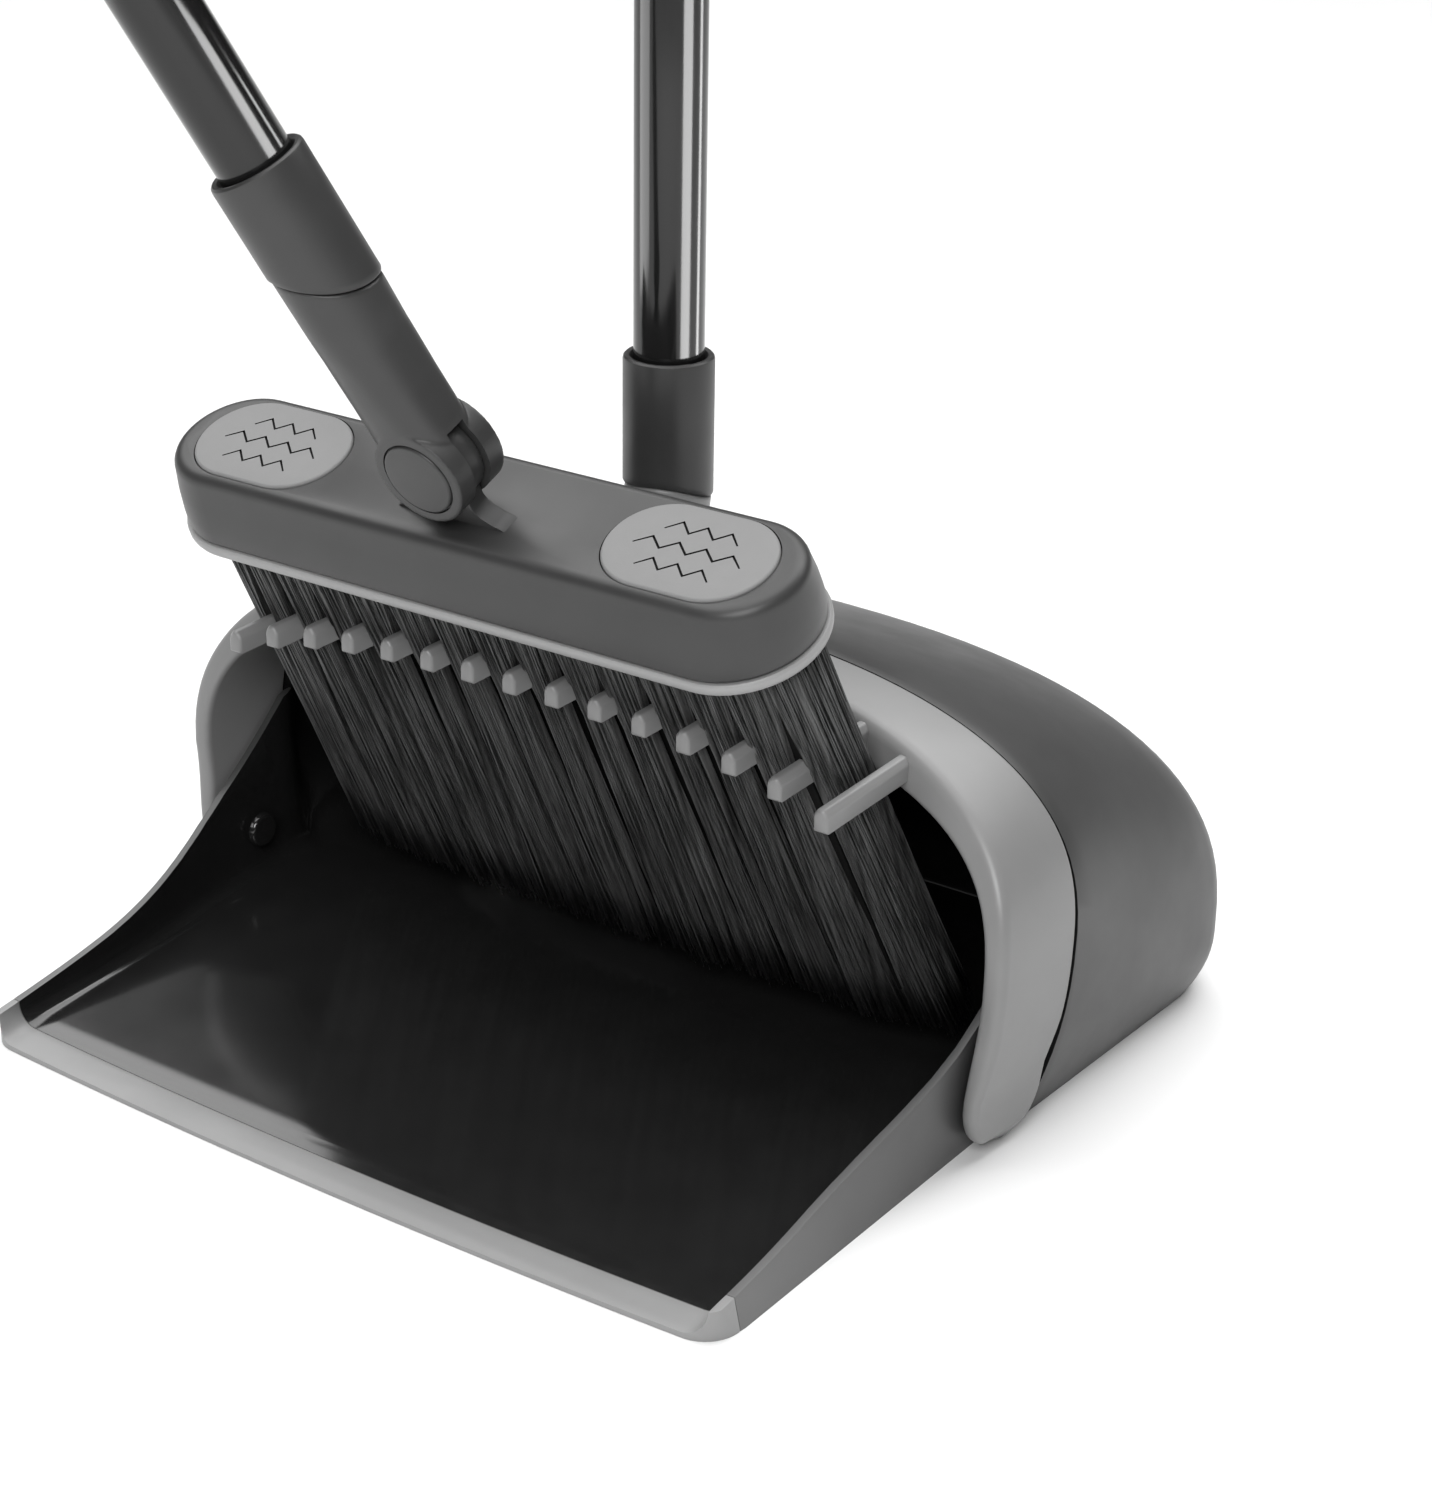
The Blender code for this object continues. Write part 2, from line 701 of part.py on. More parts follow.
def hang_ring(name, low, parent):
    """A cap that plugs the top of the grip and carries the loop for a wall hook."""
    profile = [
        (0.0, -0.022),
        (SPIGOT_R, -0.022),
        (SPIGOT_R, GAP),
        (GRIP_R - 0.0012, GAP),
        (GRIP_R - 0.0002, 0.0016),
        (GRIP_R - 0.0030, 0.0052),
        (0.0070, 0.0068),
        (0.0, 0.0068),
    ]
    cap = turned(name, profile, "light_grey", parent, 20)
    cap.location = (0, 0, low)
    bm = bmesh.new()
    rings = []
    for i in range(22):
        turn = 2 * math.pi * i / 22
        centre = Vector((RING_R * math.sin(turn), 0, 0.0068 + RING_R + RING_R * math.cos(turn)))
        out = Vector((math.sin(turn), 0, math.cos(turn)))
        ring = []
        for j in range(8):
            a = 2 * math.pi * j / 8
            side = Vector((0, 1.25 * RING_WIRE * math.sin(a), 0))
            ring.append(centre + out * (RING_WIRE * math.cos(a)) + side)
        rings.append(ring)
    loop = add_object(name + "_loop", loft(bm, rings, closed=True), None, parent)
    loop.location = (0, 0, low)
    boolean(cap, loop, "UNION")


def snap_button(name, parent, z, direction):
    """A domed button that stands through the spigot, the tube and the sleeve."""
    profile = [
        (0.0, 0.0058),
        (0.0039, 0.0058),
        (0.0039, 0.0065),
        (0.0030, 0.0065),
        (0.0030, 0.0160),
        (0.0020, 0.0168),
        (0.0, 0.0168),
    ]
    button = turned(name, profile, "steel", parent, 12)
    button.location = (0, 0, z)
    button.rotation_euler = Vector(direction).to_track_quat("Z", "Y").to_euler()


def snap_spring(name, parent, z, direction):
    """The bent leaf behind the button, folded like a U across the spigot's bore."""
    outline = []
    points = ((0.0053, -0.0030), (0.0053, 0.0030), (0.0046, 0.0110), (0.0015, 0.0150), (-0.0022, 0.0150))
    points += ((-0.0052, 0.0110), (-0.0062, 0.0))
    thick = 0.0005
    for u, v in points:
        outline.append((u, v))
    for u, v in reversed(points):
        scale = 1 - thick / max(0.004, math.hypot(u, v))
        outline.append((u * scale - 0.0001 * (v < 0), v * scale))
    bm = prism(outline, -0.0025, 0.0025, "XZ")
    leaf = add_object(name, bm, "steel", parent)
    leaf.location = (0, 0, z - 0.004)
    leaf.rotation_euler = (0, 0, math.atan2(direction[1], direction[0]))


def pan_pole(fold):
    up_the_neck = Matrix.Translation((0, POLE_Y - PIVOT_Y, SHOULDER_Z - PIVOT_Z))
    base = axis_empty("pan_pole_axis", up_the_neck, fold)
    sleeve = add_object("pan_sleeve", sleeve_ring(SLEEVE_LONG, PAN_SEAM), "charcoal", base)
    button_z = 0.024
    drilled = rod(0.0033, (0, 0.006, button_z), (0, 0.020, button_z), 16)
    hole = add_object("pan_button_hole", drilled, None, base)
    boolean(sleeve, hole)
    start = tube_start(PAN_SEAM)
    for index, word in enumerate(("lower", "middle", "upper")):
        section = pole_section("pan_pole_" + word, start + index * SECTION, base, index > 0)
        if index == 0:
            boolean(section, hole)
        else:
            screw_plug("pan_pole_plug_" + str(index), start + index * SECTION - GAP / 2, base)
    top = start + 3 * SECTION
    grip("pan_grip", top - GRIP_OVERLAP, base)
    hang_ring("pan_hang_ring", top - GRIP_OVERLAP + GRIP_LONG, base)
    snap_button("pan_snap_button", base, button_z, (0, 1, 0))
    snap_spring("pan_snap_spring", base, button_z, (0, 1, 0))


def pole_clip():
    """A snap-on strap: a full collar on the pan's pole, and an open jaw for the broom's pole."""
    base = axis_empty("pole_clip_axis", Matrix.Translation((0, POLE_Y, CLIP_Z)))
    clip = add_object("pole_clip", rod(0.0152, (0, 0, 0), (0, 0, CLIP_HIGH), 28), "charcoal", base)
    round_jaw = rod(0.0150, (0, -CLIP_REACH, 0), (0, -CLIP_REACH, CLIP_HIGH), 28)
    jaw = add_object("clip_jaw", round_jaw, None, base)
    bridge = add_object("clip_bridge", box((-0.0085, -CLIP_REACH, 0.0), (0.0085, 0.0, CLIP_HIGH)), None, base)
    boolean(clip, jaw, "UNION")
    boolean(clip, bridge, "UNION")
    for name, y in (("collar_bore", 0.0), ("jaw_bore", -CLIP_REACH)):
        bore = rod(POLE_R + GAP, (0, y, -0.01), (0, y, CLIP_HIGH + 0.01), 24)
        boolean(clip, add_object(name, bore, None, base))
    mouth = box((-0.0082, -CLIP_REACH - 0.03, -0.01), (0.0082, -CLIP_REACH - 0.006, CLIP_HIGH + 0.01))
    boolean(clip, add_object("jaw_mouth", mouth, None, base))


# ---------------------------------------------------------------- broom head
def head_matrix():
    return Matrix.Translation(HEAD) @ Matrix.Rotation(HEAD_LEAN, 4, "X")


def lug_outline():
    """The disc that the fork closes round, on a neck with a foot that spreads along the cover."""
    foot = [(LUG_FOOT, -0.004), (LUG_FOOT, 0.0004), (0.0150, 0.0022), (0.0112, 0.0046), (LUG_NECK, 0.0060)]
    leave = math.asin(LUG_NECK / LUG_R) - math.pi / 2
    arc = []
    for i in range(15):
        a = leave + (math.pi - 2 * leave) * i / 14
        arc.append((LUG_R * math.cos(a), SWIVEL_UP + LUG_R * math.sin(a)))
    return foot + arc + [(-x, z) for x, z in reversed(foot)]


def head_cover(frame):
    rings = [
        stadium(HEAD_LONG_TOP - 0.0030, HEAD_WIDE_TOP - 0.0030, 0.0),
        stadium(HEAD_LONG_TOP - 0.0008, HEAD_WIDE_TOP - 0.0008, -0.0007),
        stadium(HEAD_LONG_TOP, HEAD_WIDE_TOP, -0.0022),
        stadium(HEAD_LONG, HEAD_WIDE, -COVER_HIGH),
    ]
    cover = add_object("head_cover", loft(bmesh.new(), rings), "charcoal", frame)
    hollow = [
        stadium(HEAD_LONG_TOP - 0.0060, HEAD_WIDE_TOP - 0.0060, -0.0055),
        stadium(HEAD_LONG - 0.0052, HEAD_WIDE - 0.0052, -COVER_HIGH - 0.001),
    ]
    boolean(cover, add_object("cover_hollow", loft(bmesh.new(), hollow), None, frame))
    tab = prism(lug_outline(), SWIVEL_Y - LUG_HALF, SWIVEL_Y + LUG_HALF, "XZ")
    boolean(cover, add_object("lug", tab, None, frame), "UNION")
    pin_hole = rod(PIN_R + GAP, (0, -0.03, SWIVEL_UP), (0, 0.03, SWIVEL_UP))
    boolean(cover, add_object("lug_hole", pin_hole, None, frame))
    for side, word in ((-1, "left"), (1, "right")):
        recess = loft(
            bmesh.new(),
            [stadium(PAD_LONG, PAD_WIDE, -0.0022, 10), stadium(PAD_LONG, PAD_WIDE, 0.0030, 10)],
        )
        cutter = add_object("recess_" + word, recess, None, frame)
        cutter.location = (side * PAD_X, 0, 0)
        boolean(cover, cutter)
        post = rod(0.0042, (side * 0.052, 0, -0.004), (side * 0.052, 0, 0.0048 - COVER_HIGH), 16)
        boolean(cover, add_object("post_" + word, post, None, frame), "UNION")
        bore = rod(0.0016, (side * 0.052, 0, -0.0070), (side * 0.052, 0, -0.03), 12)
        boolean(cover, add_object("post_bore_" + word, bore, None, frame))
    return cover


def tread_pads(frame):
    """Soft ovals let into the top face, each with a zigzag tread groove."""
    for side, word in ((-1, "left"), (1, "right")):
        rings = [
            stadium(PAD_LONG - 2 * GAP, PAD_WIDE - 2 * GAP, -0.0022 + GAP, 10),
            stadium(PAD_LONG - 2 * GAP, PAD_WIDE - 2 * GAP, 0.0001, 10),
            stadium(PAD_LONG - 0.0018, PAD_WIDE - 0.0018, 0.0008, 10),
        ]
        pad = add_object("tread_pad_" + word, loft(bmesh.new(), rings), "light_grey", frame)
        pad.location = (side * PAD_X, 0, 0)


def brush_block(frame):
    """The plate that holds the tufts. Its rim shows as the light trim under the cover."""
    rim = [
        stadium(HEAD_LONG - 0.0140, HEAD_WIDE - 0.0140, -COVER_HIGH + 0.0045),
        stadium(HEAD_LONG - 0.0100, HEAD_WIDE - 0.0100, -COVER_HIGH - GAP),
        stadium(HEAD_LONG + 0.0008, HEAD_WIDE + 0.0008, -COVER_HIGH - GAP),
        stadium(HEAD_LONG + 0.0020, HEAD_WIDE + 0.0020, -COVER_HIGH - 0.0016),
        stadium(HEAD_LONG + 0.0020, HEAD_WIDE + 0.0020, -COVER_HIGH - TRIM_HIGH + 0.0010),
        stadium(HEAD_LONG, HEAD_WIDE, -COVER_HIGH - TRIM_HIGH),
    ]
    block = add_object("brush_block", loft(bmesh.new(), rim), "light_grey", frame)
    boolean(block, add_object("tuft_pocket", tuft_solid(GAP), None, frame))
    for side in (-1, 1):
        hole = rod(0.0018, (side * 0.052, 0, -0.01), (side * 0.052, 0, -0.05), 12)
        boolean(block, add_object("screw_hole", hole, None, frame))


def head_screws(frame):
    """Two screws driven up through the block into the cover's posts, with their heads in the tuft pocket."""
    top = -COVER_HIGH - TRIM_HIGH + TUFT_SINK
    for side, word in ((-1, "left"), (1, "right")):
        profile = [
            (0.0, top - 0.0030),
            (0.0026, top - 0.0030),
            (0.0031, top - 0.0008),
            (0.0031, top - GAP),
            (0.0013, top - GAP),
            (0.0013, -0.0095),
            (0.0006, -0.0082),
            (0.0, -0.0082),
        ]
        screw = turned("head_screw_" + word, profile, "steel", frame, 12)
        screw.location = (side * 0.052, 0, 0)


def tuft_solid(grow):
    """The body of the bristles: a flat-ended brush that leans back a little more than the head."""
    shear = math.tan(TUFT_LEAN - HEAD_LEAN)
    top = -COVER_HIGH - TRIM_HIGH + TUFT_SINK
    rings = []
    for share in (0.0, 0.25, 0.5, 0.75, 1.0):
        down = (TUFT_LONG + TUFT_SINK) * share
        rings.append(
            superellipse(
                TUFT_HALF_LONG - 0.004 + grow,
                TUFT_HALF_WIDE + grow,
                3.4,
                top - down + (grow if share == 0 else 0.0),
                40,
                down * shear,
            )
        )
    return loft(bmesh.new(), rings)


def bristles(frame):
    """Bristle body with a slot for each tooth of the comb, open at the tips so that it lifts off."""
    body = add_object("bristles", tuft_solid(0.0), "bristle", frame)
    slots = bmesh.new()
    low = -COVER_HIGH - TRIM_HIGH - TUFT_LONG - 0.02
    up = Vector((0, -math.sin(TUFT_LEAN), math.cos(TUFT_LEAN)))
    to_head = head_matrix().inverted()
    for index in range(TEETH):
        x = tooth_x(index)
        tooth_top = Vector((x, TOOTH_TIP_Y, tooth_z(x) + TOOTH_HIGH / 2 + 0.0010))
        reach = (to_head @ (tooth_top + up * 0.001)).z
        x_local = x - HEAD.x
        half = TOOTH_WIDE / 2 + 0.0006
        made = box((x_local - half, -0.06, low), (x_local + half, 0.06, reach))
        copy = bpy.data.meshes.new("slot")
        made.to_mesh(copy)
        made.free()
        slots.from_mesh(copy)
        bpy.data.meshes.remove(copy)
    boolean(body, add_object("tooth_slots", slots, None, frame))
    for side, word in ((-1, "left"), (1, "right")):
        top = -COVER_HIGH - TRIM_HIGH + TUFT_SINK
        seat = rod(0.0036, (side * 0.052, 0, top + 0.002), (side * 0.052, 0, top - 0.0034), 16)
        boolean(body, add_object("screw_seat_" + word, seat, None, frame))


def broom_head():
    frame = axis_empty("broom_head_axis", head_matrix())
    head_cover(frame)
    tread_pads(frame)
    brush_block(frame)
    bristles(frame)
    head_screws(frame)


# ---------------------------------------------------------------- broom handle
def handle_matrix():
    """Origin on the swivel pin, Z up the handle and Y along the pin."""
    lift = Matrix.Translation((0, SWIVEL_Y, SWIVEL_UP))
    return head_matrix() @ lift @ Matrix.Rotation(-SWIVEL_TURN, 4, "Y")


def slot_outline():
    """The slot between the fork's cheeks: open below, with a round roof over the lug's disc."""
    radius = LUG_R + 0.0006
    start = math.asin(FORK_ROOF / radius)
    points = [(-0.03, FORK_ROOF), (-0.03, -0.03), (0.03, -0.03), (0.03, FORK_ROOF)]
    for i in range(11):
        a = start + (math.pi - 2 * start) * i / 10
        points.append((radius * math.cos(a), radius * math.sin(a)))
    return points


def swivel_arm(frame):
    """Fork over the lug, growing into a round shank with the spigot for the pole on top."""
    count = 24
    angles = [2 * math.pi * i / count for i in range(count)]
    rings = []
    stations = ((-0.004, 0.0145, 0.0105, 3.0), (0.012, 0.0148, 0.0110, 3.0), (0.026, 0.0140, 0.0122, 2.6))
    stations += ((0.044, 0.0138, 0.0136, 2.2), (0.054, 0.0145, 0.0145, 2.0))
    for z, half_x, half_y, power in stations:
        ring = []
        for a in angles:
            x = half_x * math.copysign(abs(math.cos(a)) ** (2 / power), math.cos(a))
            y = half_y * math.copysign(abs(math.sin(a)) ** (2 / power), math.sin(a))
            ring.append(Vector((x, y, z)))
        rings.append(ring)
    for radius in (0.0145, SPIGOT_R):
        ring = []
        for a in angles:
            z = ARM_LONG + seam_wave(a, BROOM_SEAM) - GAP
            ring.append(Vector((radius * math.cos(a), radius * math.sin(a), z)))
        rings.append(ring)
    top = ARM_LONG + 0.045
    for z, radius in ((top - 0.001, SPIGOT_R), (top, SPIGOT_R - 0.001)):
        rings.append([Vector((radius * math.cos(a), radius * math.sin(a), z)) for a in angles])
    arm = add_object("swivel_arm", loft(bmesh.new(), rings), "charcoal", frame)
    boss_profile = [(0.0, -FORK_HALF), (FORK_R - 0.002, -FORK_HALF), (FORK_R, -FORK_HALF + 0.002)]
    boss_profile += [(FORK_R, FORK_HALF - 0.002), (FORK_R - 0.002, FORK_HALF), (0.0, FORK_HALF)]
    boss = turned("fork_boss", boss_profile, None, frame, 28)
    boss.rotation_euler = (math.pi / 2, 0, 0)
    boolean(arm, boss, "UNION")
    slot = prism(slot_outline(), -LUG_HALF - GAP, LUG_HALF + GAP, "XZ")
    boolean(arm, add_object("fork_slot", slot, None, frame))
    hole = rod(PIN_R + GAP, (0, -0.03, 0), (0, 0.03, 0))
    boolean(arm, add_object("fork_pin_hole", hole, None, frame))
    for side, word in ((-1, "front"), (1, "back")):
        seat = rod(CAP_R + 0.0004, (0, side * (FORK_HALF - 0.0022), 0), (0, side * 0.03, 0), 30)
        boolean(arm, add_object("cap_seat_" + word, seat, None, frame))
    bore = rod(SPIGOT_BORE, (0, 0, ARM_LONG + 0.008), (0, 0, ARM_LONG + 0.06))
    boolean(arm, add_object("arm_bore", bore, None, frame))
    button_z = ARM_LONG + 0.024
    hole = rod(0.0033, (0, 0.004, button_z), (0, 0.020, button_z), 16)
    boolean(arm, add_object("arm_button_hole", hole, None, frame))


def swivel_pin(frame):
    pin = rod(PIN_R, (0, -FORK_HALF + 0.0026, 0), (0, FORK_HALF - 0.0026, 0))
    add_object("swivel_pin", pin, "steel", frame)
    for side, word in ((-1, "front"), (1, "back")):
        profile = [(0.0, FORK_HALF - 0.0019), (CAP_R, FORK_HALF - 0.0019), (CAP_R, FORK_HALF + 0.0002)]
        profile += [(CAP_R - 0.0010, FORK_HALF + 0.0012), (0.0, FORK_HALF + 0.0012)]
        cap = turned("swivel_cap_" + word, profile, "charcoal", frame, 28)
        cap.rotation_euler = (-side * math.pi / 2, 0, 0)


def broom_pole():
    frame = axis_empty("broom_handle_axis", handle_matrix())
    swivel_arm(frame)
    swivel_pin(frame)
    base = axis_empty("broom_pole_axis", handle_matrix() @ Matrix.Translation((0, 0, ARM_LONG)))
    sleeve = add_object("broom_sleeve", sleeve_ring(BROOM_SLEEVE_LONG, BROOM_SEAM), "charcoal", base)
    button_z = 0.024
    drilled = rod(0.0033, (0, 0.006, button_z), (0, 0.020, button_z), 16)
    hole = add_object("broom_button_hole", drilled, None, base)
    boolean(sleeve, hole)
    start = tube_start(BROOM_SEAM)
    for index in range(4):
        section = pole_section("broom_pole_" + str(index + 1), start + index * SECTION, base, index > 0)
        if index == 0:
            boolean(section, hole)
        else:
            screw_plug("broom_pole_plug_" + str(index), start + index * SECTION - GAP / 2, base)
    top = start + 4 * SECTION
    grip("broom_grip", top - GRIP_OVERLAP, base)
    hang_ring("broom_hang_ring", top - GRIP_OVERLAP + GRIP_LONG, base)
    snap_button("broom_snap_button", base, button_z, (0, 1, 0))
    snap_spring("broom_snap_spring", base, button_z, (0, 1, 0))


pan()
pivot_pins()
pan_pole(yoke())
pole_clip()
broom_head()
broom_pole()
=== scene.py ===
import json
import math

import bmesh
import bpy
import numpy as np
from mathutils import Matrix, Vector

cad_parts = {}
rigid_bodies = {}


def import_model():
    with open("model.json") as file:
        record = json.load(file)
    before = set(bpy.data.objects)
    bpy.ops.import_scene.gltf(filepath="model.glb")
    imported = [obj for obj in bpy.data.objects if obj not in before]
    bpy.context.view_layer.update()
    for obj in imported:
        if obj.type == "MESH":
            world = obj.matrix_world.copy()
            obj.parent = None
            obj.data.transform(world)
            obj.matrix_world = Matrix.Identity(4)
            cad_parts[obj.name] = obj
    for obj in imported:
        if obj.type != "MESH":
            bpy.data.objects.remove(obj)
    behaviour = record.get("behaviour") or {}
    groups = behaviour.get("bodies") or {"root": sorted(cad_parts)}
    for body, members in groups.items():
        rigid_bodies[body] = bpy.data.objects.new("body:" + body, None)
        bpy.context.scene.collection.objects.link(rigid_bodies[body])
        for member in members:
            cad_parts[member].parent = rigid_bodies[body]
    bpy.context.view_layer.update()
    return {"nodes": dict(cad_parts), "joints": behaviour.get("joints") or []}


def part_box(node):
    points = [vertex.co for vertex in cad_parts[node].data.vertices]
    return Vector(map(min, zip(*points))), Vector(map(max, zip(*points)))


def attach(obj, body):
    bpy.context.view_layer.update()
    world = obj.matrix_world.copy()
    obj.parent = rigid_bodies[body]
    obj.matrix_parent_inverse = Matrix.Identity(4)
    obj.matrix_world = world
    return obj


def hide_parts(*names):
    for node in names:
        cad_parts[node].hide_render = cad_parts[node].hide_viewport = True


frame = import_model()
JOINTS = {joint["name"]: joint for joint in frame["joints"]}

# ---- sizes shared with the solids
GAP = 0.0003
LIP_Y, LIP_BOW, LIP_DEPTH = -0.148, 0.18, 0.0115
BACK_Y, BACK_ROUND = 0.140, 0.025
WALL, FLOOR, LIP_EDGE = 0.0026, 0.0030, 0.0016
FRONT_CORNER, INNER_CORNER = 0.012, 0.009
TRAY_TOP, TRAY_FLARE, TRAY_TUCK = 0.084, 0.0030, -0.012
HOOD_Y, HOOD_LEAN = 0.0165, math.radians(4.58)
HOOD_CROWN, HOOD_DROP, FLANGE = 0.141, 0.027, 0.0070
HOOD_FLARE, HOOD_WIDEST_Z, HOOD_POWER = 0.012, 0.060, 2.8
PIVOT_Y, PIVOT_Z, PAD_R = -0.004, 0.022, 0.019
YOKE_INNER, LEG_FRONT, CROWN_FRONT, CROWN_THICK = 0.1575, -0.020, 0.008, 0.019
PIN_R = 0.0040
TEETH, TOOTH_PITCH, TOOTH_WIDE, TOOTH_HIGH, TOOTH_TIP_Y = 15, 0.0168, 0.0055, 0.0080, -0.047
POLE_R, POLE_WALL, SECTION, CRIMP = 0.01175, 0.0006, 0.228, 0.060
SLEEVE_R, SLEEVE_BORE, BUTTON_UP = 0.0152, 0.0121, 0.024
GRIP_R, GRIP_LONG, GRIP_OVERLAP = 0.0145, 0.145, 0.030
RING_R, RING_WIRE = 0.0135, 0.0031
SHOULDER_Z, SLEEVE_LONG = 0.1776, 0.044
# Each seam is a wave round the pole: its swing, where that peaks, a double swing and where that peaks.
PAN_SEAM = (0.00215, math.radians(-146), 0.0018, math.radians(-56))
BROOM_SEAM = (0.0069, math.radians(-128), -0.0013, math.radians(-38))
CLIP_HIGH, CLIP_REACH = 0.026, 0.033
HEAD_LONG_TOP, HEAD_WIDE_TOP, HEAD_LONG, HEAD_WIDE = 0.239, 0.046, 0.241, 0.055
COVER_HIGH, TRIM_HIGH = 0.0235, 0.0046
PAD_X, PAD_LONG, PAD_WIDE = 0.0815, 0.058, 0.038
TUFT_LEAN, TUFT_LONG = math.radians(26.5), 0.1665
TUFT_HALF_LONG, TUFT_HALF_WIDE = 0.120, 0.0145
CORE_HALF, CORE_TOP = 0.1060, -COVER_HIGH - TRIM_HIGH + 0.0015
SWIVEL_Y, SWIVEL_UP, SWIVEL_TURN = -0.0075, 0.021, math.radians(19.0)
LUG_HALF, LUG_R, LUG_NECK, LUG_FOOT = 0.0037, 0.0139, 0.0095, 0.0205
FORK_HALF, FORK_R, FORK_ROOF, CAP_R = 0.0112, 0.016, 0.010, 0.0122
ARM_LONG, BROOM_SLEEVE_LONG = 0.065, 0.0395
FAR = 0.2

# ---- frames of the moving parts, from the record
pole_low, pole_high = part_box("pan_pole_lower")
POLE_Y = (pole_low.y + pole_high.y) / 2
CLIP_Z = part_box("pole_clip")[0].z
swivel = JOINTS["handle_swivel"]
SWIVEL_AXIS = Vector(swivel["axis"]).normalized()
HEAD_LEAN = math.atan2(SWIVEL_AXIS.z, SWIVEL_AXIS.y)
HEAD_FRAME = (
    Matrix.Translation(swivel["pos_m"])
    @ Matrix.Rotation(HEAD_LEAN, 4, "X")
    @ Matrix.Translation((0, -SWIVEL_Y, -SWIVEL_UP))
)
PIN_FRAME = HEAD_FRAME @ Matrix.Translation((0, SWIVEL_Y, SWIVEL_UP))
HANDLE_FRAME = PIN_FRAME @ Matrix.Rotation(-SWIVEL_TURN, 4, "Y")
BROOM_POLE_FRAME = HANDLE_FRAME @ Matrix.Translation((0, 0, ARM_LONG))
PAN_POLE_FRAME = Matrix.Translation((0, POLE_Y, SHOULDER_Z))
TUFT_SHEAR = math.tan(TUFT_LEAN - HEAD_LEAN)


# ---- materials
def link(tree, source, target):
    tree.links.new(source, target)


def grey(tone):
    return (tone, tone, tone, 1)


def noise_node(tree, coordinates, scale, detail, roughness, stretch=None):
    noise = tree.nodes.new("ShaderNodeTexNoise")
    noise.inputs["Scale"].default_value = scale
    noise.inputs["Detail"].default_value = detail
    noise.inputs["Roughness"].default_value = roughness
    if stretch:
        mapping = tree.nodes.new("ShaderNodeMapping")
        mapping.inputs["Scale"].default_value = stretch
        link(tree, coordinates, mapping.inputs["Vector"])
        coordinates = mapping.outputs["Vector"]
    link(tree, coordinates, noise.inputs["Vector"])
    return noise.outputs["Fac"]


def ranged(tree, value, low, high, start=0.3, end=0.7):
    node = tree.nodes.new("ShaderNodeMapRange")
    node.inputs["From Min"].default_value = start
    node.inputs["From Max"].default_value = end
    node.inputs["To Min"].default_value = low
    node.inputs["To Max"].default_value = high
    link(tree, value, node.inputs["Value"])
    return node.outputs["Result"]


def mix_node(tree, factor, tone):
    """A colour mix that goes to a grey of this tone. Its first colour is set by the caller."""
    mix = tree.nodes.new("ShaderNodeMix")
    mix.data_type = "RGBA"
    mix.inputs["B"].default_value = grey(tone)
    link(tree, factor, mix.inputs["Factor"])
    return mix


def surface(name, tone, roughness, mottle, metallic=0.0, mottle_scale=45.0, swing=0.05, grain=0.25,
            grain_scale=1800.0, grain_deep=0.00003, streak=None, coat=0.0, coat_ior=1.5, specular=0.5,
            painted_light_fade=None):
    """Mottled tone, uneven gloss and a fine grain. An optional last argument paints light into the colour as
    (from y, to y, tone at the second y): a painted highlight that blends to the lighter tone along y.
    """
    made = bpy.data.materials.new(name)
    made.use_nodes = True
    tree = made.node_tree
    shader = tree.nodes["Principled BSDF"]
    coordinates = tree.nodes.new("ShaderNodeTexCoord").outputs["Object"]
    blotch = noise_node(tree, coordinates, mottle_scale, 4.0, 0.6, streak)
    mix = mix_node(tree, ranged(tree, blotch, 0.0, 1.0), tone * (1 + mottle))
    mix.inputs["A"].default_value = grey(tone * (1 - mottle))
    colour = mix.outputs["Result"]
    # Painted highlight: the colour blends to a lighter tone along the object's y.
    if painted_light_fade:
        split = tree.nodes.new("ShaderNodeSeparateXYZ")
        link(tree, coordinates, split.inputs["Vector"])
        painted_lighter = mix_node(tree, ranged(tree, split.outputs["Y"], 0.0, 1.0, painted_light_fade[0], painted_light_fade[1]), painted_light_fade[2])
        link(tree, colour, painted_lighter.inputs["A"])
        colour = painted_lighter.outputs["Result"]
    link(tree, colour, shader.inputs["Base Color"])
    uneven = noise_node(tree, coordinates, mottle_scale * 0.7, 3.0, 0.6, streak)
    link(tree, ranged(tree, uneven, roughness - swing, roughness + swing), shader.inputs["Roughness"])
    fine = noise_node(tree, coordinates, grain_scale, 2.0, 0.5)
    bump = tree.nodes.new("ShaderNodeBump")
    bump.inputs["Strength"].default_value = grain
    bump.inputs["Distance"].default_value = grain_deep
    link(tree, fine, bump.inputs["Height"])
    link(tree, bump.outputs["Normal"], shader.inputs["Normal"])
    shader.inputs["Metallic"].default_value = metallic
    shader.inputs["Specular IOR Level"].default_value = specular
    shader.inputs["Coat Weight"].default_value = coat
    shader.inputs["Coat Roughness"].default_value = 0.15
    shader.inputs["Coat IOR"].default_value = coat_ior
    return made


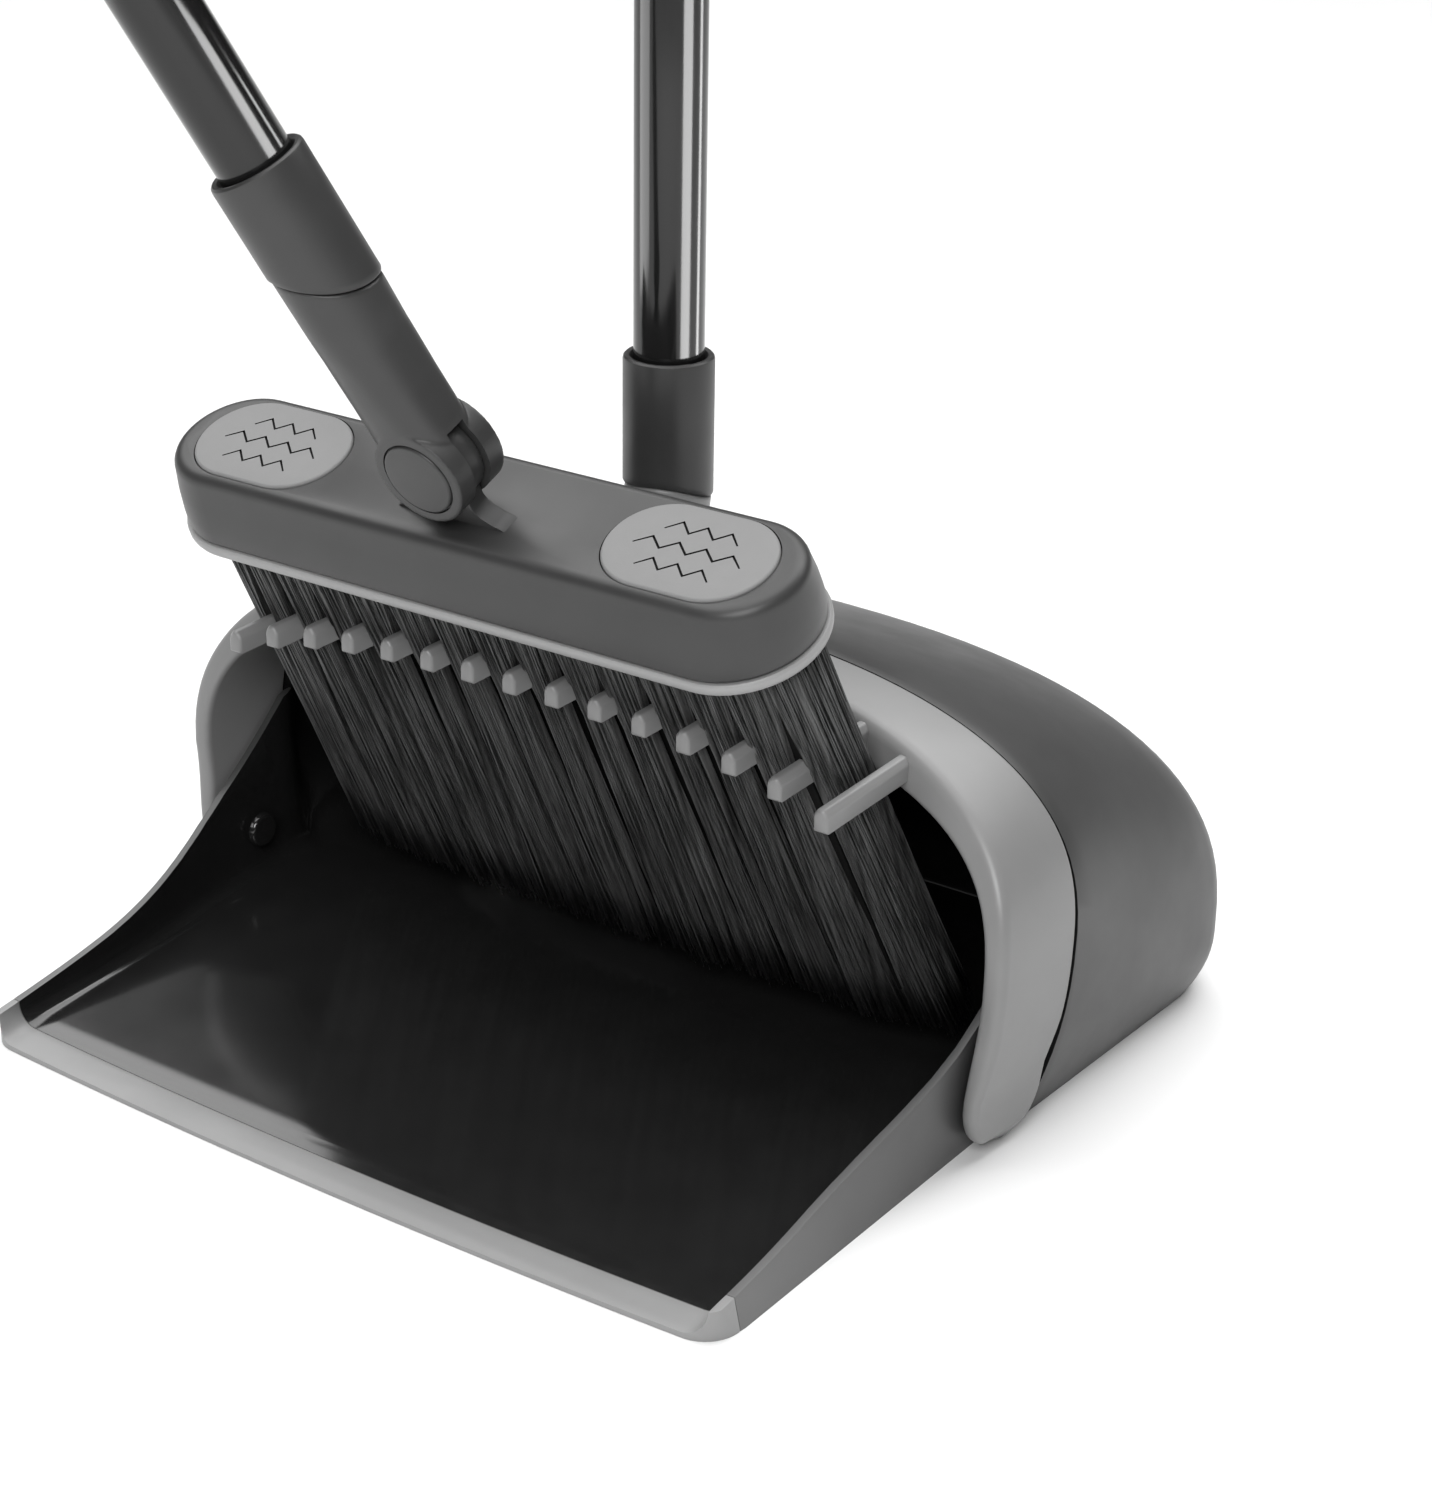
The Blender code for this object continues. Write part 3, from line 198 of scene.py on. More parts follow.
CHARCOAL = surface("charcoal_plastic", 0.035, 0.40, mottle=0.06, grain=0.35)
# The pan's outer skin lightens toward the lip: painted light, a painted reflection on the front of the tray.
HOOD_SKIN = surface("hood_plastic", 0.046, 0.42, mottle=0.05, grain=0.3, painted_light_fade=(0.0, -0.125, 0.14))
# The inside of the pan is the same moulding as its outside, and its much darker tone is painted shade. The
# coat and gloss are the plastic's own.
PAN_INSIDE_SHADED = surface("gloss_plastic_inside_shade", 0.014, 0.13, mottle=0.12, swing=0.02, grain=0.05,
                     coat=0.35, coat_ior=1.6)
LIGHT_GREY = surface("light_grey_plastic", 0.215, 0.36, mottle=0.02, grain=0.25)
LIP_GREY = surface("lip_grey_plastic", 0.27, 0.42, mottle=0.03, grain=0.3)
TRIM_GREY = surface("trim_grey_plastic", 0.30, 0.45, mottle=0.03, grain=0.2)
PAD_GREY = surface("tread_pad_rubber", 0.205, 0.6, mottle=0.03, grain=0.6, grain_deep=0.00005)
GRIP_GREY = surface("grip_grey_foam", 0.27, 0.55, mottle=0.03, grain=0.8, grain_scale=1200.0,
                    grain_deep=0.00006)
# Near-black painted shade for the gap behind the yoke, the pad recesses in the head cover and the tread
# grooves.
PAINTED_GAP_SHADE = surface("seam_shadow", 0.004, 0.7, mottle=0.3, grain=0.2, specular=0.1)
POLE_COAT = surface("pole_coated_metal", 0.010, 0.14, mottle=0.15, mottle_scale=60.0, swing=0.03,
                    grain=0.04, streak=(14.0, 14.0, 0.6), specular=0.45)
BRISTLE = surface("bristle_fibre", 0.070, 0.40, mottle=0.92, mottle_scale=1.0, swing=0.12, grain=0.1,
                  streak=(500.0, 500.0, 2.0), specular=0.5)
# Near-black painted shade for the block inside the tuft.
BRISTLE_SHADE_CORE = surface("bristle_shadow", 0.0035, 0.8, mottle=0.5, mottle_scale=1.0, grain=0.1,
                       streak=(700.0, 700.0, 9.0), specular=0.2)
STEEL = surface("brushed_steel", 0.5, 0.3, metallic=1.0, mottle=0.05, streak=(1.0, 1.0, 20.0), grain=0.2)
NYLON = surface("nylon", 0.55, 0.5, mottle=0.04)


# ---- mesh helpers
def linked(name, data):
    obj = bpy.data.objects.new(name, data)
    bpy.context.scene.collection.objects.link(obj)
    return obj


def add_mesh(name, verts, faces):
    mesh = bpy.data.meshes.new(name)
    mesh.from_pydata([tuple(v) for v in verts], [], faces)
    mesh.validate()
    obj = linked(name, mesh)
    work = bmesh.new()
    work.from_mesh(mesh)
    bmesh.ops.recalc_face_normals(work, faces=work.faces)
    work.to_mesh(mesh)
    work.free()
    return obj


def full_turn(count):
    return [2 * math.pi * i / count for i in range(count)]


def round_point(radius, angle, height):
    return Vector((radius * math.cos(angle), radius * math.sin(angle), height))


def loft(rings, closed=False):
    verts = [point for ring in rings for point in ring]
    count = len(rings[0])
    faces = []
    rows = len(rings)
    for r in range(rows if closed else rows - 1):
        low = r * count
        high = ((r + 1) % rows) * count
        for i in range(count):
            j = (i + 1) % count
            faces.append((low + i, low + j, high + j, high + i))
    if not closed:
        faces.append(tuple(range(count))[::-1])
        faces.append(tuple(range((rows - 1) * count, rows * count)))
    return verts, faces


def merged(*shapes):
    verts, faces = [], []
    for more_verts, more_faces in shapes:
        start = len(verts)
        verts += list(more_verts)
        faces += [tuple(start + i for i in face) for face in more_faces]
    return verts, faces


def fillet(points, radius, steps, closed=False):
    """A 2D or 3D polyline with its corners rounded. radius is one number, or one for each point."""
    radii = radius if isinstance(radius, (list, tuple)) else [radius] * len(points)
    points = [Vector(p) for p in points]
    made = []
    for i, point in enumerate(points):
        ends = not closed and i in (0, len(points) - 1)
        if ends or radii[i] <= 0:
            made.append(point)
            continue
        before = points[i - 1] - point
        after = points[(i + 1) % len(points)] - point
        reach = min(radii[i], before.length * 0.48, after.length * 0.48)
        first = point + before.normalized() * reach
        last = point + after.normalized() * reach
        for k in range(steps + 1):
            t = k / steps
            made.append(first * (1 - t) ** 2 + point * (2 * t * (1 - t)) + last * t * t)
    return made


def turned(profile, segments):
    """A profile of (radius, height) turned about Z. Ends at radius 0 are capped."""
    rings = []
    angles = full_turn(segments)
    for radius, height in profile:
        if radius > 0:
            rings.append([round_point(radius, a, height) for a in angles])
    ring_shaped = profile[0][0] > 0
    return loft(rings, closed=ring_shaped)


def round_profile(points, radii, steps):
    """A turned profile of (radius, height) points with its corners rounded."""
    return [(p.x, p.y) for p in fillet([(a, b, 0) for a, b in points], radii, steps)]


def prism(outline, low, high, axis="x"):
    """An outline of (u, v) points pushed along the axis from low to high."""
    at = "xyz".index(axis)
    return loft([[Vector((*p[:at], level, *p[at:])) for p in outline] for level in (low, high)])


def rod(radius, start, end, segments):
    start, end = Vector(start), Vector(end)
    turn = (end - start).to_track_quat("Z", "Y").to_matrix()
    edge = [turn @ round_point(radius, a, 0) for a in full_turn(segments)]
    return loft([[point + away for away in edge] for point in (start, end)])


def blend(low, high, share):
    share = max(0.0, min(1.0, share))
    share = share * share * (3 - 2 * share)
    return low + (high - low) * share


def stadium(length, width, height, steps=28, straight=10):
    """A ring with straight sides and round ends."""
    radius = width / 2
    reach = length / 2 - radius
    ring = []
    for side in (1, -1):
        for i in range(steps + 1):
            angle = -math.pi / 2 + math.pi * i / steps
            x = side * (reach + radius * math.cos(angle))
            ring.append(Vector((x, side * radius * math.sin(angle), height)))
        for i in range(1, straight):
            x = side * reach * (1 - 2 * i / straight)
            ring.append(Vector((x, side * radius, height)))
    return ring


def signed_power(value, power):
    return math.copysign(abs(value) ** power, value)


def morphed(stations, between, angles):
    """Superellipse rings from station to station, each (height, y, half across, half deep, power)."""
    rings = []
    for low, high in zip(stations, stations[1:]):
        for part in range(between):
            share = part / between
            z, y, half_x, half_y, power = [a + (b - a) * share for a, b in zip(low, high)]
            ring = []
            for angle in angles:
                x = half_x * signed_power(math.cos(angle), 2 / power)
                ring.append(Vector((x, y + half_y * signed_power(math.sin(angle), 2 / power), z)))
            rings.append(ring)
    return rings


def tinted(name, shape, material):
    obj = add_mesh(name, *shape)
    obj.data.materials.append(material)
    return obj


def baked(obj):
    """Applies the object's modifiers to its mesh."""
    graph = bpy.context.evaluated_depsgraph_get()
    graph.update()
    mesh = bpy.data.meshes.new_from_object(obj.evaluated_get(graph))
    obj.modifiers.clear()
    old = obj.data
    obj.data = mesh
    bpy.data.meshes.remove(old)
    return obj


def combine(obj, other, operation="DIFFERENCE"):
    """Cuts, joins or intersects two objects for good, and removes the second."""
    modifier = obj.modifiers.new("combine", "BOOLEAN")
    modifier.operation = operation
    modifier.object = other
    modifier.solver = "EXACT"
    modifier.material_mode = "TRANSFER"
    baked(obj)
    bpy.data.objects.remove(other)
    return obj


def rounded(obj, width, segments, angle):
    modifier = obj.modifiers.new("edges", "BEVEL")
    modifier.width = width
    modifier.segments = segments
    modifier.limit_method = "ANGLE"
    modifier.angle_limit = math.radians(angle)
    modifier.use_clamp_overlap = True
    modifier.miter_outer = "MITER_ARC"
    return baked(obj)


def softened(obj, voxel, passes):
    """Melts joined shapes into one another, as in a moulding with filleted corners."""
    remesh = obj.modifiers.new("remesh", "REMESH")
    remesh.mode = "VOXEL"
    remesh.voxel_size = voxel
    smooth = obj.modifiers.new("smooth", "SMOOTH")
    smooth.factor = 0.5
    smooth.iterations = passes
    return baked(obj)


def dress(obj, material, body, nodes, sharp=35.0):
    """Gives a piece its body and, if it needs one, a material, and hides the solids it stands for."""
    if material is not None:
        obj.data.materials.clear()
        obj.data.materials.append(material)
    obj.data.shade_smooth()
    obj.data.set_sharp_from_angle(angle=math.radians(sharp))
    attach(obj, body)
    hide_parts(*nodes)
    return obj


# ---- pan
def tray_base(y):
    return 0.1485 + 0.040 * (y - LIP_Y)


def tray_flare(y):
    return blend(TRAY_TUCK, TRAY_FLARE, (y + 0.096) / 0.078)


def hood_base(y):
    return 0.1592 + 0.075 * (y - HOOD_Y)


def hood_flare(y):
    return HOOD_FLARE - 0.030 * max(0.0, y - 0.028)


def hood_crown(y):
    share = max(0.0, (y - 0.028) / 0.092)
    return HOOD_CROWN - HOOD_DROP * share**1.3


def hood_widest_z(y):
    return HOOD_WIDEST_Z - 0.32 * (y - HOOD_Y)


def side_x(z, base, flare, widest_z):
    return base + flare * (1 - (1 - min(1.0, z / widest_z)) ** 2)


def hood_plane(z):
    return HOOD_Y + z * math.tan(HOOD_LEAN)


def pan_section(y, base, flare, widest_z, crown, floor, corner=0.0):
    """A ring across the pan: flat floor, sides that swell to widest_z, and an arched crown."""
    half = []
    if corner > 0:
        for i in range(9):
            angle = -math.pi / 2 + math.pi / 2 * i / 8
            z = floor + corner + corner * math.sin(angle)
            half.append((side_x(z, base, flare, widest_z) - corner + corner * math.cos(angle), z))
    else:
        half.append((base, floor))
    start = floor + corner
    for i in range(1, 9):
        z = start + (widest_z - start) * (i / 8) ** 1.2
        half.append((side_x(z, base, flare, widest_z), z))
    widest = base + flare
    steps = 26
    for i in range(1, steps):
        angle = math.pi / 2 * i / steps
        x = widest * math.cos(angle) ** (2 / HOOD_POWER)
        half.append((x, widest_z + (crown - widest_z) * math.sin(angle) ** (2 / HOOD_POWER)))
    ring = [Vector((x, y, z)) for x, z in half]
    ring.append(Vector((0, y, crown)))
    ring += [Vector((-p.x, y, p.z)) for p in reversed(ring[:-1])]
    return ring


def hood_section(y, inset, floor, corner=0.0):
    base, crown = hood_base(y) - inset, hood_crown(y) - inset
    return pan_section(y, base, hood_flare(y), hood_widest_z(y), crown, floor, corner)


def wall_top(y):
    share = max(0.0, min(1.0, (y - LIP_Y) / (HOOD_Y - LIP_Y)))
    return 0.0095 + 0.016 * share + 0.043 * share**3


def hood_shape():
    rings = []
    for i in range(12):
        y = 0.004 + (0.108 - 0.004) * i / 11
        rings.append(hood_section(y, 0.0, 0.0))
    for degrees in range(6, 90, 7):
        a = math.radians(degrees)
        y = BACK_Y - BACK_ROUND + BACK_ROUND * math.sin(a)
        rings.append(hood_section(y, BACK_ROUND * (1 - math.cos(a)), 0.0))
    return loft(rings)


def cavity_shape():
    rings = []
    stations = [-0.165, LIP_Y, LIP_Y + LIP_DEPTH * 0.5, LIP_Y + LIP_DEPTH]
    stations += [-0.124 + 0.0115 * i for i in range(11)] + [0.004, 0.012]
    stations += [0.018, 0.022, 0.026, 0.030, 0.036, 0.045, 0.060, 0.075, 0.090, 0.104]
    for y in stations:
        share = (y - 0.018) / 0.018
        base = blend(tray_base(y) - WALL, hood_base(y) - WALL, share)
        flare = blend(tray_flare(y), hood_flare(y), share)
        crown = hood_crown(y) - blend(FLANGE, WALL, share)
        slope = min(1.0, max(0.0, (y - LIP_Y) / LIP_DEPTH))
        floor = LIP_EDGE + (FLOOR - LIP_EDGE) * slope
        rings.append(pan_section(y, base, flare, hood_widest_z(y), crown, floor, corner=INNER_CORNER))
    for degrees in range(8, 85, 11):
        a = math.radians(degrees)
        y = BACK_Y - BACK_ROUND + (BACK_ROUND - WALL) * math.sin(a)
        inset = WALL + (BACK_ROUND - WALL) * (1 - math.cos(a))
        rings.append(hood_section(y, inset, FLOOR, INNER_CORNER))
    return loft(rings)


def tray_shape():
    rings = []
    stations = [LIP_Y - 0.006, -0.136] + [-0.125 + 0.0113 * i for i in range(12)]
    stations += [0.0095, HOOD_Y - 0.0004, 0.023]
    for y in stations:
        low = max(0.0, 0.2 * (y - HOOD_Y))
        right = []
        for i in range(13):
            z = low + (TRAY_TOP - low) * (i / 12) ** 1.3
            right.append(Vector((side_x(z, tray_base(y), tray_flare(y), hood_widest_z(y)), y, z)))
        rings.append(right + [Vector((-p.x, p.y, p.z)) for p in reversed(right)])
    return loft(rings)


def front_line(x, depth):
    half = tray_base(LIP_Y) + 0.0004
    corner = FRONT_CORNER if depth == 0 else 0.0
    past = max(0.0, abs(x) - (half - corner)) if corner else 0.0
    past = min(past, corner)
    return LIP_Y + depth + LIP_BOW * x * x + corner - math.sqrt(max(0.0, corner**2 - past**2))


def front_outline(depth, back_y):
    half = tray_base(LIP_Y) + 0.0004
    xs = [half * math.sin(math.pi / 2 * i / 40) for i in range(-40, 41)]
    points = [(x, front_line(x, depth)) for x in xs]
    if depth > 0:
        points = [(-FAR, points[0][1])] + points + [(FAR, points[-1][1])]
    return points + [(FAR, back_y), (-FAR, back_y)]


def open_tray(name, material):
    """The solid tray with its sloping side walls and rounded front corners."""
    tray = tinted(name, tray_shape(), material)
    ys = [LIP_Y - 0.01 + (HOOD_Y + 0.012 - LIP_Y) * i / 60 for i in range(61)]
    above = [(y, wall_top(y)) for y in ys]
    above += [(0.05, wall_top(ys[-1])), (0.05, FAR), (-FAR, FAR), (-FAR, wall_top(-FAR))]
    combine(tray, tinted("above_walls", prism(above, -FAR, FAR), material))
    within = prism(front_outline(0.0, FAR), -0.01, 0.25, "z")
    combine(tray, tinted("corners", within, material), "INTERSECT")
    return tray


def pan_shell():
    shell = open_tray("pan_shell_fine", HOOD_SKIN)
    hood = tinted("hood", hood_shape(), HOOD_SKIN)
    before = [(-0.05, -0.01), (hood_plane(-0.01), -0.01), (hood_plane(FAR), FAR), (-0.05, FAR)]
    # The hood's cut face, in the gap behind the yoke, takes the cutter's near-black material: painted shade.
    combine(hood, tinted("before_hood", prism(before, -FAR, FAR), PAINTED_GAP_SHADE))
    combine(shell, hood, "UNION")
    # The cavity's faces take the darker inside material: painted shade inside the pan.
    combine(shell, tinted("cavity", cavity_shape(), PAN_INSIDE_SHADED))
    region = prism(front_outline(LIP_DEPTH + GAP / 2, -FAR), -0.01, 0.1, "z")
    combine(shell, tinted("lip_region", region, HOOD_SKIN))
    rounded(shell, 0.0006, 3, 50.0)
    dress(shell, None, "pan", ["pan_shell"], 32.0)


def lip_strip():
    lip = open_tray("lip_strip_fine", LIP_GREY)
    combine(lip, tinted("cavity", cavity_shape(), LIP_GREY))
    behind = prism(front_outline(LIP_DEPTH - GAP / 2, 0.3), -0.01, 0.1, "z")
    combine(lip, tinted("behind_lip", behind, LIP_GREY))
    rounded(lip, 0.0005, 3, 50.0)
    dress(lip, LIP_GREY, "pan", ["lip_strip"])


def pivot_bosses():
    """The heads of the two pivot pins, on the inner faces of the side walls."""
    face, end = 0.1507, 0.1622
    points = [(0.0, face - 0.0014), (0.0062, face - 0.0014), (0.0068, face + 0.0010)]
    points += [(PIN_R, face + 0.0010), (PIN_R, end), (0.0, end)]
    profile = round_profile(points, [0, 0.0012, 0.0004, 0, 0, 0], 5)
    for side, word in ((-1, "left"), (1, "right")):
        pin = add_mesh("pivot_boss_" + word, *turned(profile, 48))
        turn = Matrix.Rotation(side * math.pi / 2, 4, "Y")
        pin.matrix_world = Matrix.Translation((0, PIVOT_Y, PIVOT_Z)) @ turn
        # The pin heads take the pan's darker inside material: painted shade.
        dress(pin, PAN_INSIDE_SHADED, "pan", ["pivot_pin_" + word])


# ---- yoke
def yoke_corners(z, outline_x, normal, thickness, y_front, y_back, step):
    outer = Vector((outline_x, 0, z))
    inner = outer - normal * thickness
    front = outer - normal * step
    return [
        Vector((outer.x, y_back, outer.z)),
        Vector((front.x, y_front, front.z)),
        Vector((inner.x, y_front, inner.z)),
        Vector((inner.x, y_back - (outer.z - inner.z) * math.tan(HOOD_LEAN), inner.z)),
    ]


def yoke_band():
    """The arch: round pads at the pivots, legs, and an arch that gets thicker to the crown."""
    sideways = Vector((1, 0, 0))
    arch_high = HOOD_CROWN - HOOD_WIDEST_Z
    stations = []
    for i in range(15):
        a = math.radians(86 - 78 * i / 14)
        z = PIVOT_Z - PAD_R * math.sin(a)
        reach = PAD_R * math.cos(a)
        outer = 0.1664 - 0.0016 * math.sin(a) ** 2 - 0.0022 * max(0.0, math.sin(a) - 0.8) / 0.2
        thickness = outer - YOKE_INNER
        corners = yoke_corners(z, outer, sideways, thickness, PIVOT_Y - reach, PIVOT_Y + reach, 0.0034)
        stations.append((corners, 0.0040))
    for i in range(9):
        z = 0.0245 + (0.055 - 0.0245) * i / 8
        outer = side_x(z, hood_base(HOOD_Y), HOOD_FLARE, HOOD_WIDEST_Z)
        inner = YOKE_INNER + 0.08 * (z - PIVOT_Z)
        back = blend(PIVOT_Y + PAD_R, hood_plane(z) - 0.0005, (z - PIVOT_Z) / 0.020)
        front = blend(PIVOT_Y - PAD_R, LEG_FRONT, (z - PIVOT_Z) / 0.03)
        stations.append((yoke_corners(z, outer, sideways, outer - inner, front, back, 0.0036), 0.0044))
    widest = hood_base(HOOD_Y) + HOOD_FLARE
    steps = 44
    for i in range(steps + 1):
        angle = math.pi / 2 * i / steps
        x = widest * math.cos(angle) ** (2 / HOOD_POWER) if i < steps else 0.0
        rise = arch_high * math.sin(angle) ** (2 / HOOD_POWER)
        z = HOOD_WIDEST_Z + rise
        outward = (x / widest) ** (HOOD_POWER - 1) / widest
        upward = (rise / arch_high) ** (HOOD_POWER - 1) / arch_high
        normal = Vector((outward, 0, upward)).normalized()
        thickness = blend(0.0107, CROWN_THICK, (i / steps) ** 0.8)
        front = LEG_FRONT + (CROWN_FRONT - LEG_FRONT) * math.sin(angle) ** 1.3
        step = blend(0.0032, 0.0016, i / steps)
        corners = yoke_corners(z, x, normal, thickness, front, hood_plane(z) - 0.0005, step)
        stations.append((corners, 0.0046))
    right = []
    for corners, soft in stations:
        right.append(fillet(corners, [0.0012, soft, 0.0028, 0.0012], 6, closed=True))
    left = [[Vector((-p.x, p.y, p.z)) for p in ring] for ring in reversed(right[:-1])]
    return loft(right + left)


def tooth_x(index):
    return (index - (TEETH - 1) / 2) * TOOTH_PITCH


def tooth_z(x):
    return 0.1345 - 0.32 * x * x - 54.0 * x**4


def tooth_shape(index):
    x = tooth_x(index)
    z = tooth_z(x)
    rings = []
    root_y = 0.013
    tip = [(TOOTH_TIP_Y, 0.0011), (TOOTH_TIP_Y + 0.0004, 0.0005), (TOOTH_TIP_Y + 0.0013, 0.0)]
    for y, inset in tip + [(root_y, 0.0)]:
        wide = TOOTH_WIDE / 2 - inset
        high = TOOTH_HIGH / 2 - inset
        slant_x, slant_z = wide - 0.0016, z + high - 0.0022
        corners = [(x - wide, z - high), (x + wide, z - high), (x + wide, slant_z)]
        corners += [(x + slant_x, z + high), (x - slant_x, z + high), (x - wide, slant_z)]
        ring = fillet([(a, b, 0) for a, b in corners], 0.0006, 3, closed=True)
        rings.append([Vector((p.x, y, p.y)) for p in ring])
    return loft(rings)


def seam_wave(angle, seam):
    swell, toward, double, middle = seam
    return swell * math.cos(angle - toward) + double * math.cos(2 * (angle - middle))


def shoulder(angles, centre_y, height, seam, steps):
    """The rings that end a neck under its sleeve, just below the seam. steps is (radius, lift) for each."""
    rings = []
    for radius, lift in steps:
        ring = []
        for a in angles:
            z = height + seam_wave(a, seam) - GAP + lift
            ring.append(Vector((radius * math.cos(a), centre_y + radius * math.sin(a), z)))
        rings.append(ring)
    return rings


def tube_start(seam):
    return seam[0] + abs(seam[2]) + 0.003


def neck_shape():
    stations = ((0.127, 0.0172, 0.0300, 0.0070, 4.0), (0.140, 0.0182, 0.0240, 0.0084, 4.0),
                (0.148, 0.0220, 0.0190, 0.0096, 3.4), (0.156, 0.0295, 0.0160, 0.0112, 3.0),
                (0.164, 0.0370, 0.0146, 0.0130, 2.4), (0.171, POLE_Y, 0.0145, 0.0145, 2.0))
    angles = full_turn(64)
    rings = morphed(stations, 4, angles)
    top = ((0.0145, -0.0012), (0.0143, -0.0005), (0.0137, 0.0))
    return loft(rings + shoulder(angles, POLE_Y, SHOULDER_Z, PAN_SEAM, top))


def yoke():
    teeth = [tooth_shape(i) for i in range(TEETH)]
    arch = add_mesh("yoke_fine", *merged(yoke_band(), neck_shape(), *teeth))
    dress(arch, LIGHT_GREY, "yoke", ["yoke_arch"], 40.0)


# ---- poles and their fittings
def sleeve_shape(high, seam):
    """A sleeve: its lower end follows the seam, its upper end is level."""
    lower = [(SLEEVE_BORE + 0.0014, -0.0002), (SLEEVE_R - 0.0009, 0.0), (SLEEVE_R - 0.0003, 0.0002)]
    lower += [(SLEEVE_R, 0.0008), (SLEEVE_R, 0.0025)]
    upper = [(SLEEVE_R, 0.022), (SLEEVE_R, high - 0.0016), (SLEEVE_R - 0.0002, high - 0.0007)]
    upper += [(SLEEVE_R - 0.0008, high - 0.0001), (SLEEVE_R - 0.0014, high)]
    upper += [(SLEEVE_BORE + 0.0009, high - 0.0003), (SLEEVE_BORE + 0.0001, high - 0.0016)]
    upper += [(SLEEVE_BORE + 0.0001, high - 0.008)]
    angles = full_turn(96)
    rings = []
    for radius, z in lower:
        rings.append([round_point(radius, a, z + seam_wave(a, seam)) for a in angles])
    for radius, z in upper:
        rings.append([round_point(radius, a, z) for a in angles])
    return loft(rings, closed=True)


def pole_shape(length, crimped):
    inner = POLE_R - POLE_WALL
    profile = [(POLE_R - 0.0003, length), (POLE_R - 0.0001, length - 0.0001), (POLE_R, length - 0.0004)]
    if crimped:
        for k in range(9):
            t = k / 8
            profile.append((POLE_R - 0.0007 * math.sin(math.pi * t) ** 1.5, CRIMP + 0.0024 - 0.0048 * t))
    profile += [(POLE_R, 0.0004), (POLE_R - 0.0001, 0.0001), (POLE_R - 0.0003, 0.0)]
    profile += [(inner, 0.0), (inner, length)]
    return turned(profile, 72)


def grip_shape():
    profile = [(SLEEVE_BORE, 0.0), (GRIP_R - 0.0008, 0.0), (GRIP_R - 0.0002, 0.0004), (GRIP_R, 0.0014)]
    for k in range(1, 40):
        z = 0.0014 + (GRIP_LONG - 0.0034) * k / 40
        dip = 0.00022 if k % 3 == 0 and 4 < k < 36 else 0.0
        profile.append((GRIP_R - dip, z))
    profile += [(GRIP_R, GRIP_LONG - 0.0020), (GRIP_R - 0.0005, GRIP_LONG - 0.0006)]
    profile += [(GRIP_R - 0.0014, GRIP_LONG), (SLEEVE_BORE, GRIP_LONG)]
    return turned(profile, 72)


def hang_ring(name, frame_at, low, body, node):
    """An end cap with a loop of wire that is a little deeper than wide."""
    cap_high = 0.0068
    points = [(0.0, GAP), (GRIP_R - 0.0012, GAP), (GRIP_R - 0.0002, 0.0016), (GRIP_R - 0.0030, 0.0052)]
    cap = turned(points + [(0.0070, cap_high), (0.0, cap_high)], 48)
    wire = RING_WIRE - 0.0002
    rings = []
    for turn in full_turn(72):
        centre = Vector((RING_R * math.sin(turn), 0, cap_high + RING_R + RING_R * math.cos(turn)))
        out = Vector((math.sin(turn), 0, math.cos(turn)))
        ring = []
        for a in full_turn(20):
            ring.append(centre + out * (wire * math.cos(a)) + Vector((0, 1.25 * wire * math.sin(a), 0)))
        rings.append(ring)
    obj = add_mesh(name, *merged(cap, loft(rings, closed=True)))
    softened(obj, 0.0005, 5)
    obj.data.transform(frame_at @ Matrix.Translation((0, 0, low)))
    dress(obj, GRIP_GREY, body, [node], 60.0)


def snap_button(name, frame_at, body, node):
    rim, stem, low, face = 0.0039, 0.0030, 0.0058, 0.0168
    points = [(0.0, low), (rim, low), (rim, 0.0065), (stem, 0.0065), (stem, face), (0.0, face)]
    profile = round_profile(points, [0, 0, 0, 0, 0.0012, 0], 5)
    obj = add_mesh(name, *turned(profile, 40))
    turn = Matrix.Rotation(-math.pi / 2, 4, "X")
    obj.matrix_world = frame_at @ Matrix.Translation((0, 0, BUTTON_UP)) @ turn
    dress(obj, STEEL, body, [node])


def pole_set(prefix, frame_at, body, button_body, names, sleeve_long, seam):
    sleeve = add_mesh(prefix + "_sleeve_fine", *sleeve_shape(sleeve_long, seam))
    hole = add_mesh("hole", *rod(0.0034, (0, 0.006, BUTTON_UP), (0, 0.020, BUTTON_UP), 40))
    combine(sleeve, hole)
    sleeve.matrix_world = frame_at
    dress(sleeve, CHARCOAL, body, [prefix + "_sleeve"], 32.0)
    start = tube_start(seam)
    for index, node in enumerate(names):
        pole = add_mesh(node + "_fine", *pole_shape(SECTION - GAP, index > 0))
        pole.matrix_world = frame_at @ Matrix.Translation((0, 0, start + index * SECTION))
        dress(pole, POLE_COAT, body, [node], 30.0)
    top = start + len(names) * SECTION
    grip = add_mesh(prefix + "_grip_fine", *grip_shape())
    grip.matrix_world = frame_at @ Matrix.Translation((0, 0, top - GRIP_OVERLAP))
    dress(grip, GRIP_GREY, body, [prefix + "_grip"], 40.0)
    ring, button = prefix + "_hang_ring", prefix + "_snap_button"
    hang_ring(ring + "_fine", frame_at, top - GRIP_OVERLAP + GRIP_LONG, body, ring)
    snap_button(button + "_fine", frame_at, button_body, button)


